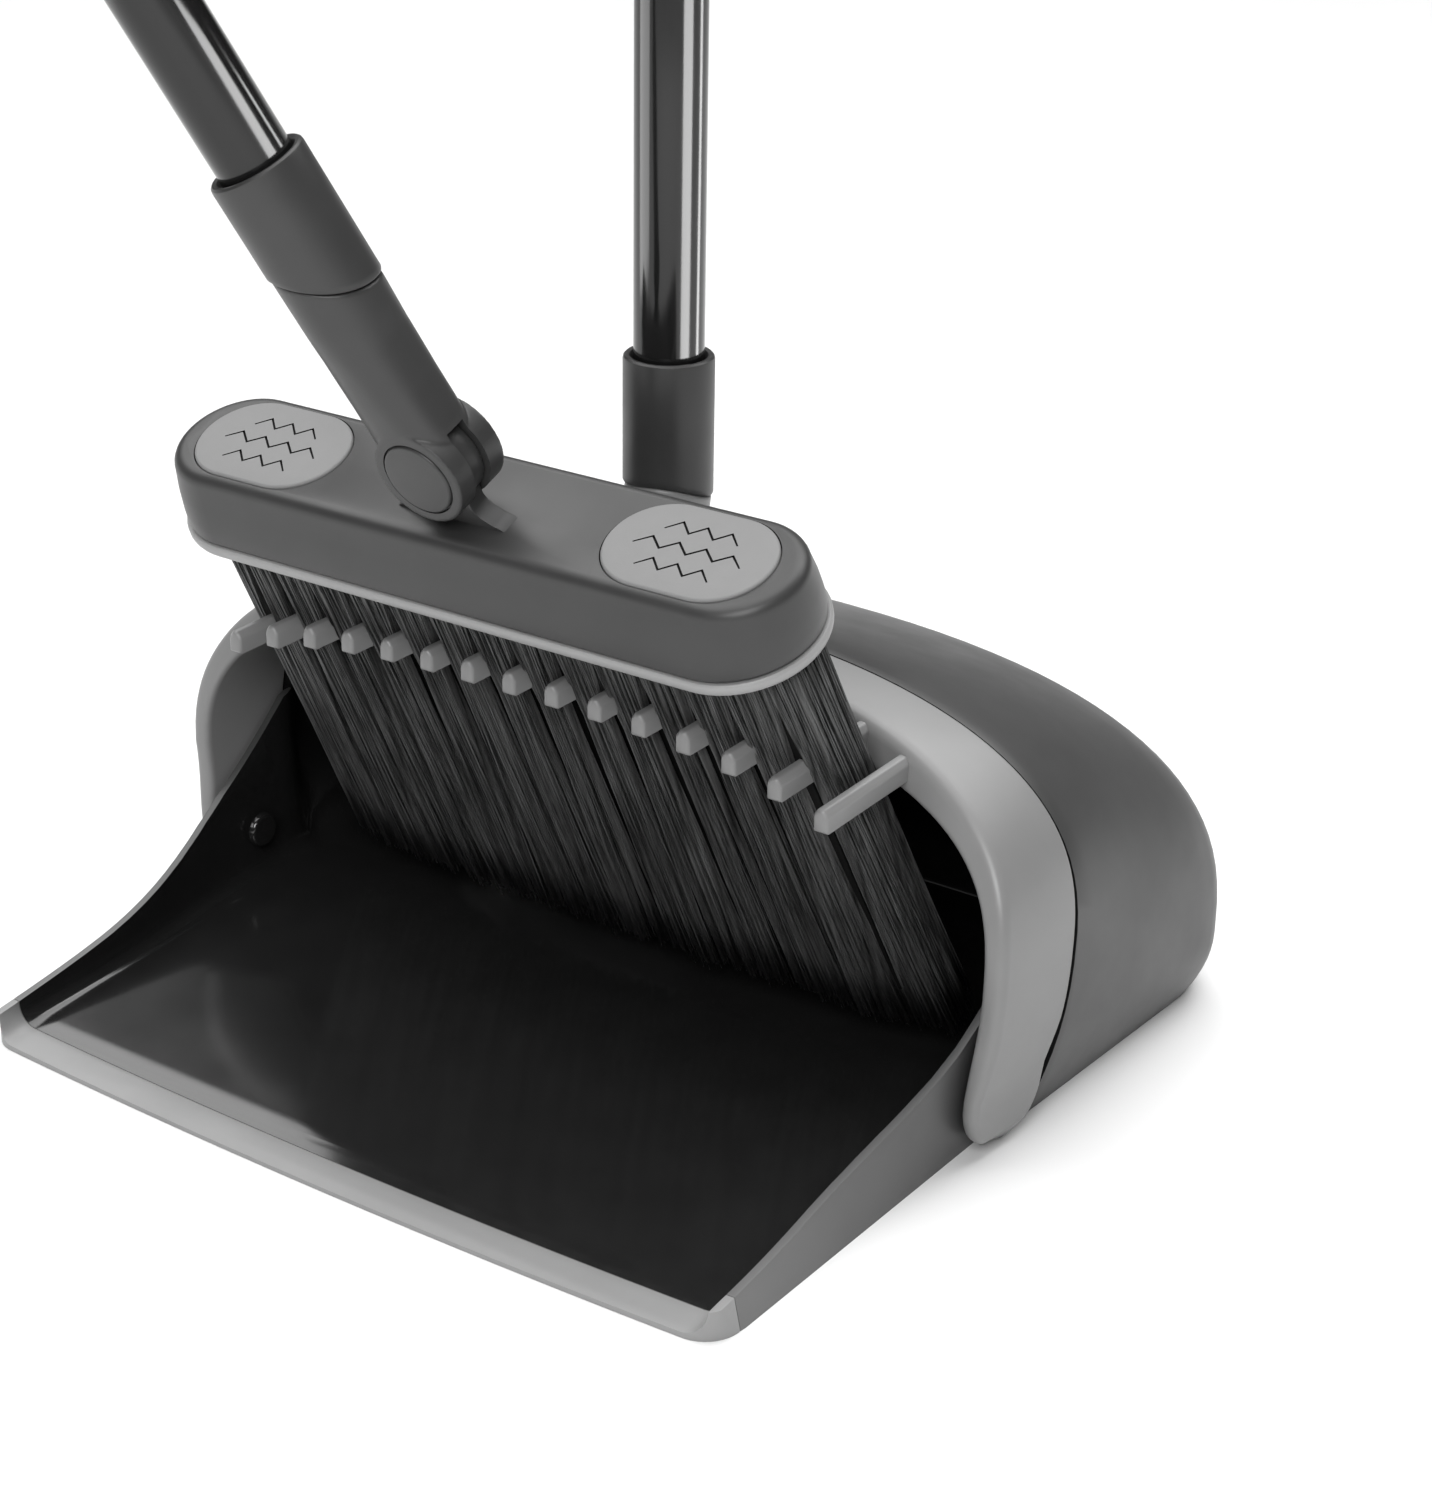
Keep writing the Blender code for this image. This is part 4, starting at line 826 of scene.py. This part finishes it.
def clip():
    """A ring round the pan's pole and an open jaw in front of it, joined by a bridge."""
    obj = add_mesh("pole_clip_fine", *rod(0.0150, (0, 0, 0), (0, 0, CLIP_HIGH), 72))
    jaw = rod(0.0148, (0, -CLIP_REACH, 0), (0, -CLIP_REACH, CLIP_HIGH), 72)
    combine(obj, add_mesh("jaw", *jaw), "UNION")
    outline = [(-0.0085, -CLIP_REACH), (0.0085, -CLIP_REACH), (0.0085, 0.0), (-0.0085, 0.0)]
    combine(obj, add_mesh("bridge", *prism(outline, 0.0, CLIP_HIGH, "z")), "UNION")
    for y in (0.0, -CLIP_REACH):
        combine(obj, add_mesh("bore", *rod(POLE_R + GAP, (0, y, -0.01), (0, y, CLIP_HIGH + 0.01), 72)))
    mouth = [(-0.0082, -CLIP_REACH - 0.03), (0.0082, -CLIP_REACH - 0.03), (0.0070, -CLIP_REACH - 0.006)]
    mouth += [(-0.0070, -CLIP_REACH - 0.006)]
    combine(obj, add_mesh("mouth", *prism(mouth, -0.01, CLIP_HIGH + 0.01, "z")))
    rounded(obj, 0.0006, 3, 50.0)
    obj.matrix_world = Matrix.Translation((0, POLE_Y, CLIP_Z))
    dress(obj, CHARCOAL, "clip", ["pole_clip"], 35.0)


# ---- broom head
def head_cover():
    rings = []
    top = 0.0045
    for i in range(8):
        a = math.radians(90 * i / 7)
        less = 2 * top * (1 - math.sin(a))
        rings.append(stadium(HEAD_LONG_TOP - less, HEAD_WIDE_TOP - less, -top * (1 - math.cos(a))))
    for t in (0.35, 0.7, 0.93):
        z = -top + (-COVER_HIGH + top) * t
        swell = 0.0010 * math.sin(math.pi * t)
        long = HEAD_LONG_TOP + (HEAD_LONG - HEAD_LONG_TOP) * t + swell
        wide = HEAD_WIDE_TOP + (HEAD_WIDE - HEAD_WIDE_TOP) * t + swell
        rings.append(stadium(long, wide, z))
    for less, up in ((0.0004, 0.0005), (0.0014, 0.0), (0.0100, 0.001)):
        rings.append(stadium(HEAD_LONG - less, HEAD_WIDE - less, -COVER_HIGH + up))
    cover = tinted("head_cover_fine", loft(rings), CHARCOAL)
    for side in (-1, 1):
        recess = [stadium(PAD_LONG, PAD_WIDE, z, 32, 6) for z in (-0.0022, 0.0030)]
        # The recess walls take the cutter's near-black material: painted shade round the pads.
        cutter = tinted("recess", loft(recess), PAINTED_GAP_SHADE)
        cutter.location = (side * PAD_X, 0, 0)
        combine(cover, cutter)
    rounded(cover, 0.0004, 2, 60.0)
    cover.matrix_world = HEAD_FRAME
    dress(cover, None, "broom_head", ["head_cover"], 38.0)


def swivel_lug():
    """The upright lug on the cover: a spreading foot, a neck and a round eye."""
    foot = [(LUG_FOOT + 0.0010, -0.001), (LUG_FOOT, 0.0002), (0.0165, 0.0014), (0.0130, 0.0031)]
    foot += [(0.0108, 0.0050), (LUG_NECK + 0.0003, 0.0070)]
    leave = math.asin(LUG_NECK / LUG_R) - math.pi / 2
    outline = list(foot)
    for i in range(49):
        a = leave + (math.pi - 2 * leave) * i / 48
        outline.append((LUG_R * math.cos(a), SWIVEL_UP + LUG_R * math.sin(a)))
    outline += [(-x, z) for x, z in reversed(foot)]
    levels = [(-LUG_HALF, 0.0006), (-LUG_HALF + 0.0002, 0.0002), (-LUG_HALF + 0.0006, 0.0)]
    levels += [(-y, inset) for y, inset in reversed(levels)]
    centre = Vector((0, SWIVEL_UP * 0.6))
    loops = []
    for y, inset in levels:
        loop = []
        for u, v in outline:
            away = Vector((u, v)) - centre
            moved = centre + away * (1 - inset / max(away.length, 0.004))
            loop.append(Vector((moved.x, SWIVEL_Y + y, moved.y)))
        loops.append(loop)
    lug = add_mesh("swivel_lug", *loft(loops))
    lug.matrix_world = HEAD_FRAME
    dress(lug, CHARCOAL, "broom_head", ["head_cover"], 38.0)


def groove_cutter(points, width, deep, top):
    """A thin prism along a polyline, for a tread groove."""
    left, right = [], []
    for i, point in enumerate(points):
        before = points[max(0, i - 1)]
        after = points[min(len(points) - 1, i + 1)]
        along = Vector((after[0] - before[0], after[1] - before[1])).normalized()
        across = Vector((-along.y, along.x))
        half = width / 2 * (0.55 if i in (0, len(points) - 1) else 1.0)
        left.append((point[0] + across.x * half, point[1] + across.y * half))
        right.append((point[0] - across.x * half, point[1] - across.y * half))
    return prism(left + right[::-1], top - deep, top + 0.002, "z")


def tread_pads():
    for side, word in ((-1, "left"), (1, "right")):
        edge, shoulder, zigzag = 0.0010, -0.0002, 0.0021
        long, wide = PAD_LONG - 2 * GAP, PAD_WIDE - 2 * GAP
        rings = [stadium(long, wide, z, 32, 6) for z in (-0.0018, shoulder)]
        for i in range(1, 6):
            a = math.radians(90 * i / 5)
            less = 2 * edge * (1 - math.cos(a))
            rings.append(stadium(long - less, wide - less, shoulder + edge * math.sin(a), 32, 6))
        pad = tinted("tread_pad_" + word + "_fine", loft(rings), PAD_GREY)
        for row, reach, steps in ((-0.0085, 0.0130, 6), (0.0, 0.0190, 8), (0.0085, 0.0130, 6)):
            line = []
            for k in range(steps + 1):
                x = -reach + 2 * reach * k / steps
                line.append((x, row + (zigzag if k % 2 else -zigzag)))
            cutter = groove_cutter(line, 0.0010, 0.0007, shoulder + edge)
            # The groove walls take the cutter's near-black material: painted shade in the grooves.
            combine(pad, tinted("groove", cutter, PAINTED_GAP_SHADE))
        pad.matrix_world = HEAD_FRAME @ Matrix.Translation((side * PAD_X, 0, 0))
        dress(pad, None, "broom_head", ["tread_pad_" + word], 35.0)


def brush_block():
    """The trim under the cover: each ring is (added to the cover's length and width, depth under it)."""
    under = ((-0.0120, 0.0004), (0.0006, GAP), (0.0004, 0.0005), (0.0016, 0.0010), (0.0020, 0.0016),
             (0.0020, TRIM_HIGH - 0.0014), (0.0014, TRIM_HIGH - 0.0007), (0.0002, TRIM_HIGH - 0.0002),
             (-0.0012, TRIM_HIGH), (-0.0200, TRIM_HIGH - 0.0002))
    rings = [stadium(HEAD_LONG + more, HEAD_WIDE + more, -COVER_HIGH - depth) for more, depth in under]
    block = add_mesh("brush_block_fine", *loft(rings))
    block.matrix_world = HEAD_FRAME
    dress(block, TRIM_GREY, "broom_head", ["brush_block"], 40.0)


def tip_lean(x):
    """How far a bristle rooted at x leans to the right at its tip: the right end fans out with use."""
    return 0.0180 * np.clip((x - 0.010) / 0.106, 0, 1) ** 1.5 - 0.0020 * np.clip((-x - 0.07) / 0.05, 0, 1)


def strands(count, seed):
    """The bristles' paths in the head's frame: x, y and z, a row for each strand, a column for each step."""
    rng = np.random.default_rng(seed)
    steps = 8
    root_z = -COVER_HIGH - TRIM_HIGH + 0.001
    columns, rows = 48, 5
    per = count // (columns * rows)
    cx = np.repeat(np.linspace(-0.1140, 0.1140, columns), rows * per)
    cy = np.tile(np.repeat(np.linspace(-0.0125, 0.0125, rows), per), columns)
    total = len(cx)
    hole_radius = 0.0019
    angle = rng.uniform(0, 2 * np.pi, total)
    radius = hole_radius * np.sqrt(rng.uniform(0, 1, total))
    root_x = cx + radius * np.cos(angle)
    root_y = cy + radius * np.sin(angle)
    half = TUFT_HALF_LONG - 0.004
    inside = np.clip(np.abs(root_x) / half, 0, 1)
    root_y *= np.clip((1 - inside**8), 0.40, 1) ** 0.5
    fan = 1.0 + 0.6 * np.clip((root_x - 0.06) / 0.06, 0, 1) ** 2
    clump = np.repeat(rng.normal(0, 0.0010, (columns * rows, 2)), per, axis=0)
    stray = rng.uniform(0, 1, total) < 0.02
    strong, weak = rng.normal(0, 0.0045, (total, 2)), rng.normal(0, 0.0009, (total, 2))
    wild = np.where(stray[:, None], strong, weak)
    tip_x = root_x * 1.008 + tip_lean(root_x) + (clump[:, 0] + wild[:, 0]) * fan
    tip_y = root_y * 1.02 + clump[:, 1] * 0.6 + np.clip(wild[:, 1], -0.004, 0.003) * 0.7
    length = TUFT_LONG + rng.normal(0, 0.0016, total) + 0.0045 * np.clip((root_x - 0.07) / 0.05, 0, 1)
    t = np.linspace(0, 1, steps)[None, :]
    ease = 0.9 * t + 0.1 * t**2
    x = root_x[:, None] + (tip_x - root_x)[:, None] * ease
    y = root_y[:, None] + (tip_y - root_y)[:, None] * ease + TUFT_SHEAR * length[:, None] * t
    z = root_z - length[:, None] * t
    phase = rng.uniform(0, 2 * np.pi, (total, 1))
    waves = rng.uniform(1.5, 3.5, (total, 1))
    x += 0.00035 * np.sin(waves * 2 * np.pi * t + phase) * t
    return x, y, z


def part_round_teeth(x, y, z):
    """Pushes strands sideways where a tooth of the comb stands in their way."""
    points = np.stack([x, y, z], -1)
    world = np.array(HEAD_FRAME)
    placed = points @ world[:3, :3].T + world[:3, 3]
    clear = TOOTH_WIDE / 2 + 0.0005
    for index in range(TEETH):
        tx = tooth_x(index)
        tz = tooth_z(tx)
        head_x = tx - world[0, 3]
        near = np.abs(placed[..., 2] - tz)
        at = np.argmin(near, axis=1)
        rows = np.arange(len(x))
        off = x[rows, at] - head_x
        hit = np.abs(off) < clear
        push = np.where(off >= 0, clear - off, -clear - off) * hit
        t = np.arange(x.shape[1])[None, :] / (x.shape[1] - 1)
        level = (at / (x.shape[1] - 1))[:, None]
        above = np.clip(1 - (level - t) / 0.22, 0, 1)
        below = np.clip(1 - 0.55 * (t - level) / (1 - level + 1e-6), 0, 1)
        x = x + push[:, None] * np.where(t <= level, above, below)
    return x


def tubes(name, x, y, z, thick, thin):
    """One mesh of thin closed tubes along the paths, thick at the root and thin at the tip."""
    sides = 3
    total, steps = x.shape
    angles = 2 * np.pi * np.arange(sides) / sides
    radius = np.linspace(thick, thin, steps)
    verts = np.zeros((total, steps, sides, 3))
    verts[..., 0] = x[:, :, None] + radius[None, :, None] * np.cos(angles)
    verts[..., 1] = y[:, :, None] + radius[None, :, None] * np.sin(angles)
    verts[..., 2] = z[:, :, None]
    base = (np.arange(total) * steps * sides)[:, None, None]
    row = (np.arange(steps - 1) * sides)[None, :, None]
    side = np.arange(sides)[None, None, :]
    after = (side + 1) % sides
    lower, upper = base + row, base + row + sides
    quads = np.stack([lower + side, lower + after, upper + after, upper + side], -1).reshape(-1, 4)
    first = (np.arange(total) * steps * sides)[:, None]
    tips = first + (steps - 1) * sides + np.arange(sides)[None, :]
    roots = first + np.arange(sides)[None, ::-1]
    mesh = bpy.data.meshes.new(name)
    mesh.vertices.add(total * steps * sides)
    mesh.vertices.foreach_set("co", verts.reshape(-1).astype(np.float32))
    ends = np.concatenate([tips, roots])
    loops = np.concatenate([quads.reshape(-1), ends.reshape(-1)])
    mesh.loops.add(len(loops))
    mesh.loops.foreach_set("vertex_index", loops.astype(np.int32))
    sizes = np.concatenate([np.full(len(quads), 4), np.full(len(ends), sides)])
    starts = np.concatenate([[0], np.cumsum(sizes)[:-1]])
    mesh.polygons.add(len(sizes))
    mesh.polygons.foreach_set("loop_start", starts.astype(np.int32))
    mesh.update(calc_edges=True)
    mesh.validate()
    return linked(name, mesh)


def core_slab(low_x, high_x, from_z, to_z):
    """A block inside the tuft that leans with the bristles, so that no light shows through. It is
    near-black: painted shade for the dense inner bristles.
    """
    half = TUFT_HALF_WIDE - 0.0055
    rings = []
    for share in (0.0, 0.5, 1.0):
        level = from_z + (to_z - from_z) * share
        down = CORE_TOP - level
        ease = 0.9 * down / TUFT_LONG + 0.1 * (down / TUFT_LONG) ** 2
        left = low_x + float(tip_lean(low_x)) * ease
        right = high_x + float(tip_lean(high_x)) * ease
        ring = [(left, -half), (right, -half), (right, half), (left, half)]
        rings.append([Vector((a, b + down * TUFT_SHEAR, level)) for a, b in ring])
    return loft(rings)


def bristles():
    count = 10800
    x, y, z = strands(count, 11)
    x = part_round_teeth(x, y, z)
    fibres = tubes("bristle_strands", x, y, z, 0.00034, 0.00020)
    fibres.matrix_world = HEAD_FRAME
    dress(fibres, BRISTLE, "broom_head", ["bristles"], 180.0)
    split = (HEAD_FRAME.inverted() @ Vector((0, TOOTH_TIP_Y, tooth_z(0) + 0.010))).z
    end = CORE_TOP - TUFT_LONG + 0.012
    beside = TOOTH_WIDE / 2 + 0.0012
    edges = [-CORE_HALF]
    for index in range(TEETH):
        centre = tooth_x(index) - HEAD_FRAME.translation.x
        edges += [centre - beside, centre + beside]
    edges.append(CORE_HALF)
    edges = [max(-CORE_HALF, min(CORE_HALF, e)) for e in edges]
    shapes = [core_slab(-CORE_HALF, CORE_HALF, CORE_TOP, split)]
    for low_x, high_x in zip(edges[::2], edges[1::2]):
        if high_x - low_x > 0.001:
            shapes.append(core_slab(low_x, high_x, split, end))
    # The core is near-black: painted shade deep in the tuft.
    core = add_mesh("bristle_core", *merged(*shapes))
    core.matrix_world = HEAD_FRAME
    dress(core, BRISTLE_SHADE_CORE, "broom_head", ["bristles"], 30.0)


# ---- swivel
def swivel_arm():
    stations = ((-0.004, 0.0, 0.0145, 0.0105, 3.0), (0.012, 0.0, 0.0148, 0.0110, 3.0),
                (0.026, 0.0, 0.0140, 0.0122, 2.6), (0.044, 0.0, 0.0138, 0.0136, 2.2),
                (0.054, 0.0, 0.0144, 0.0144, 2.0))
    angles = full_turn(72)
    rings = morphed(stations, 5, angles)
    ends = ((0.0145, -0.0016), (0.0145, -0.0007), (0.0143, -0.0002), (0.0136, 0.0))
    rings += shoulder(angles, 0.0, ARM_LONG, BROOM_SEAM, ends)
    boss = [(0.0, -FORK_HALF), (FORK_R, -FORK_HALF), (FORK_R, FORK_HALF), (0.0, FORK_HALF)]
    boss_verts, boss_faces = turned(boss, 72)
    boss_verts = [Vector((p.x, p.z, -p.y)) for p in boss_verts]
    arm = add_mesh("swivel_arm_fine", *loft(rings))
    combine(arm, add_mesh("boss", boss_verts, boss_faces), "UNION")
    softened(arm, 0.0005, 7)
    radius = LUG_R + 0.0006
    start = math.asin(FORK_ROOF / radius)
    outline = [(-0.03, FORK_ROOF), (-0.03, -0.03), (0.03, -0.03), (0.03, FORK_ROOF)]
    for i in range(33):
        a = start + (math.pi - 2 * start) * i / 32
        outline.append((radius * math.cos(a), radius * math.sin(a)))
    combine(arm, add_mesh("slot", *prism(outline, -LUG_HALF - GAP, LUG_HALF + GAP, "y")))
    for side in (-1, 1):
        seat = rod(CAP_R + 0.0005, (0, side * (FORK_HALF - 0.0016), 0), (0, side * 0.03, 0), 96)
        combine(arm, add_mesh("seat", *seat))
    arm.matrix_world = HANDLE_FRAME
    dress(arm, CHARCOAL, "broom_handle", ["swivel_arm"], 40.0)


def swivel_caps():
    for side, word in ((-1, "front"), (1, "back")):
        face = FORK_HALF + 0.0006
        points = [(0.0, FORK_HALF - 0.0014), (CAP_R, FORK_HALF - 0.0014), (CAP_R, face), (0.0, face)]
        profile = round_profile(points, [0, 0, 0.0012, 0], 6)
        cap = add_mesh("swivel_cap_" + word + "_fine", *turned(profile, 96))
        cap.matrix_world = HANDLE_FRAME @ Matrix.Rotation(-side * math.pi / 2, 4, "X")
        dress(cap, CHARCOAL, "broom_handle", ["swivel_cap_" + word], 32.0)


PAN_TUBES = ["pan_pole_lower", "pan_pole_middle", "pan_pole_upper"]
BROOM_TUBES = ["broom_pole_1", "broom_pole_2", "broom_pole_3", "broom_pole_4"]
pan_shell()
lip_strip()
pivot_bosses()
yoke()
clip()
pole_set("pan", PAN_POLE_FRAME, "yoke", "pan_button", PAN_TUBES, SLEEVE_LONG, PAN_SEAM)
pole_set("broom", BROOM_POLE_FRAME, "broom_handle", "broom_button", BROOM_TUBES, BROOM_SLEEVE_LONG,
         BROOM_SEAM)
head_cover()
swivel_lug()
tread_pads()
brush_block()
bristles()
swivel_arm()
swivel_caps()

# Pieces inside the others keep their solid's mesh and only get a material.
STEEL_INSIDE = ["head_screw_left", "head_screw_right", "swivel_pin", "pan_snap_spring", "broom_snap_spring"]
NYLON_INSIDE = ["pan_pole_plug_1", "pan_pole_plug_2"]
NYLON_INSIDE += ["broom_pole_plug_1", "broom_pole_plug_2", "broom_pole_plug_3"]
for nodes, material in ((STEEL_INSIDE, STEEL), (NYLON_INSIDE, NYLON)):
    for node in nodes:
        solid = frame["nodes"][node]
        solid.data.materials.clear()
        solid.data.materials.append(material)


# ---- studio
STUDIO_MIDDLE = Vector((0.0, 0.03, 0.0))
FLOOR_REACH = 120.0


def white_floor():
    corners = [(x * FLOOR_REACH, y * FLOOR_REACH, 0) for x, y in ((-1, -1), (1, -1), (1, 1), (-1, 1))]
    floor = bpy.data.meshes.new("floor")
    floor.from_pydata(corners, [], [(0, 1, 2, 3)])
    floor_obj = linked("floor", floor)
    white = surface("floor_white", 0.86, 0.6, mottle=0.005, mottle_scale=3.0, grain=0.0, specular=0.2)
    floor.materials.append(white)


def sky():
    """A soft sky that is brightest overhead, with a bright band just above the horizon.

    The strengths multiply the Background node's own colour, which stays at Blender's default dark grey.
    """
    low_sky, high_sky, horizon = 0.32, 3.0, 16.0
    world = bpy.data.worlds.new("studio")
    bpy.context.scene.world = world
    world.use_nodes = True
    tree = world.node_tree
    direction = tree.nodes.new("ShaderNodeTexCoord").outputs["Generated"]
    split = tree.nodes.new("ShaderNodeSeparateXYZ")
    link(tree, direction, split.inputs["Vector"])
    rise = ranged(tree, split.outputs["Z"], 0.0, 1.0, 0.40, 1.0)
    curve = tree.nodes.new("ShaderNodeMath")
    curve.operation = "POWER"
    curve.inputs[1].default_value = 1.5
    link(tree, rise, curve.inputs[0])
    glow = tree.nodes.new("ShaderNodeMath")
    glow.operation = "ADD"
    link(tree, ranged(tree, curve.outputs["Value"], low_sky, high_sky, 0.0, 1.0), glow.inputs[0])
    link(tree, ranged(tree, split.outputs["Z"], horizon, 0.0, 0.02, 0.10), glow.inputs[1])
    link(tree, glow.outputs["Value"], tree.nodes["Background"].inputs["Strength"])


def aimed(name, kind, place, target, power):
    light = bpy.data.lights.new(name, kind)
    light.energy = power
    obj = linked(name, light)
    obj.location = place
    obj.rotation_euler = (Vector(target) - Vector(place)).to_track_quat("-Z", "Y").to_euler()
    obj.visible_camera = False
    return obj


def soft_box(name, place, target, wide, high, power):
    obj = aimed(name, "AREA", place, target, power)
    obj.data.shape = "RECTANGLE"
    obj.data.size, obj.data.size_y = wide, high
    return obj


def studio():
    white_floor()
    sky()
    sun = aimed("sky_dome", "SUN", (-0.6, 0.3, 2.0), (0, 0, 0), 3.4)
    sun.data.angle = math.radians(75)
    soft_box("front_box", (0.9, -1.7, 1.5), (0, 0, 0.1), 1.4, 1.0, 34.0)
    soft_box("back_box", (0.5, 1.1, 1.5), (0, 0.06, 0.12), 1.0, 0.8, 9.0)

    # Three strips give the pole tubes their long highlights. They light nothing else.
    tubes_only = bpy.data.collections.new("strip_light_receivers")
    for obj in bpy.data.objects:
        if "_pole_" in obj.name:
            tubes_only.objects.link(obj)
    strips = (("right_strip", 0, 0.36, 0.20, 4.0), ("rim_strip", 51, 0.42, 0.08, 1.3),
              ("left_strip", -145, 0.62, 0.46, 3.0))
    strip_up, strip_high = 0.18, 0.5
    for name, heading, away, wide, power in strips:
        a = math.radians(heading)
        place = STUDIO_MIDDLE + Vector((away * math.cos(a), away * math.sin(a), strip_up))
        strip = soft_box(name, place, STUDIO_MIDDLE + Vector((0, 0, strip_up)), wide, strip_high, power)
        strip.visible_diffuse = False
        strip.light_linking.receiver_collection = tubes_only


def camera():
    """Set where the photograph was taken from: turned to the right side, looking down at the set."""
    round_to, down_by, roll = math.radians(33.86), math.radians(24.8), math.radians(0.9)
    level = math.cos(down_by)
    back = Vector((math.sin(round_to) * level, -math.cos(round_to) * level, math.sin(down_by)))
    right = Vector((math.cos(round_to), math.sin(round_to), 0))
    up = back.cross(right)
    x_axis = right * math.cos(roll) + up * math.sin(roll)
    y_axis = up * math.cos(roll) - right * math.sin(roll)
    data = bpy.data.cameras.new("camera")
    data.lens = 68.2
    data.sensor_width = 36.0
    data.clip_start = 0.01
    obj = linked("camera", data)
    place = Matrix((x_axis, y_axis, back)).transposed().to_4x4()
    place.translation = Vector((0.5146, -0.6947, 0.4937))
    obj.matrix_world = place
    bpy.context.scene.camera = obj


studio()
camera()
bpy.context.scene.view_settings.view_transform = "Standard"
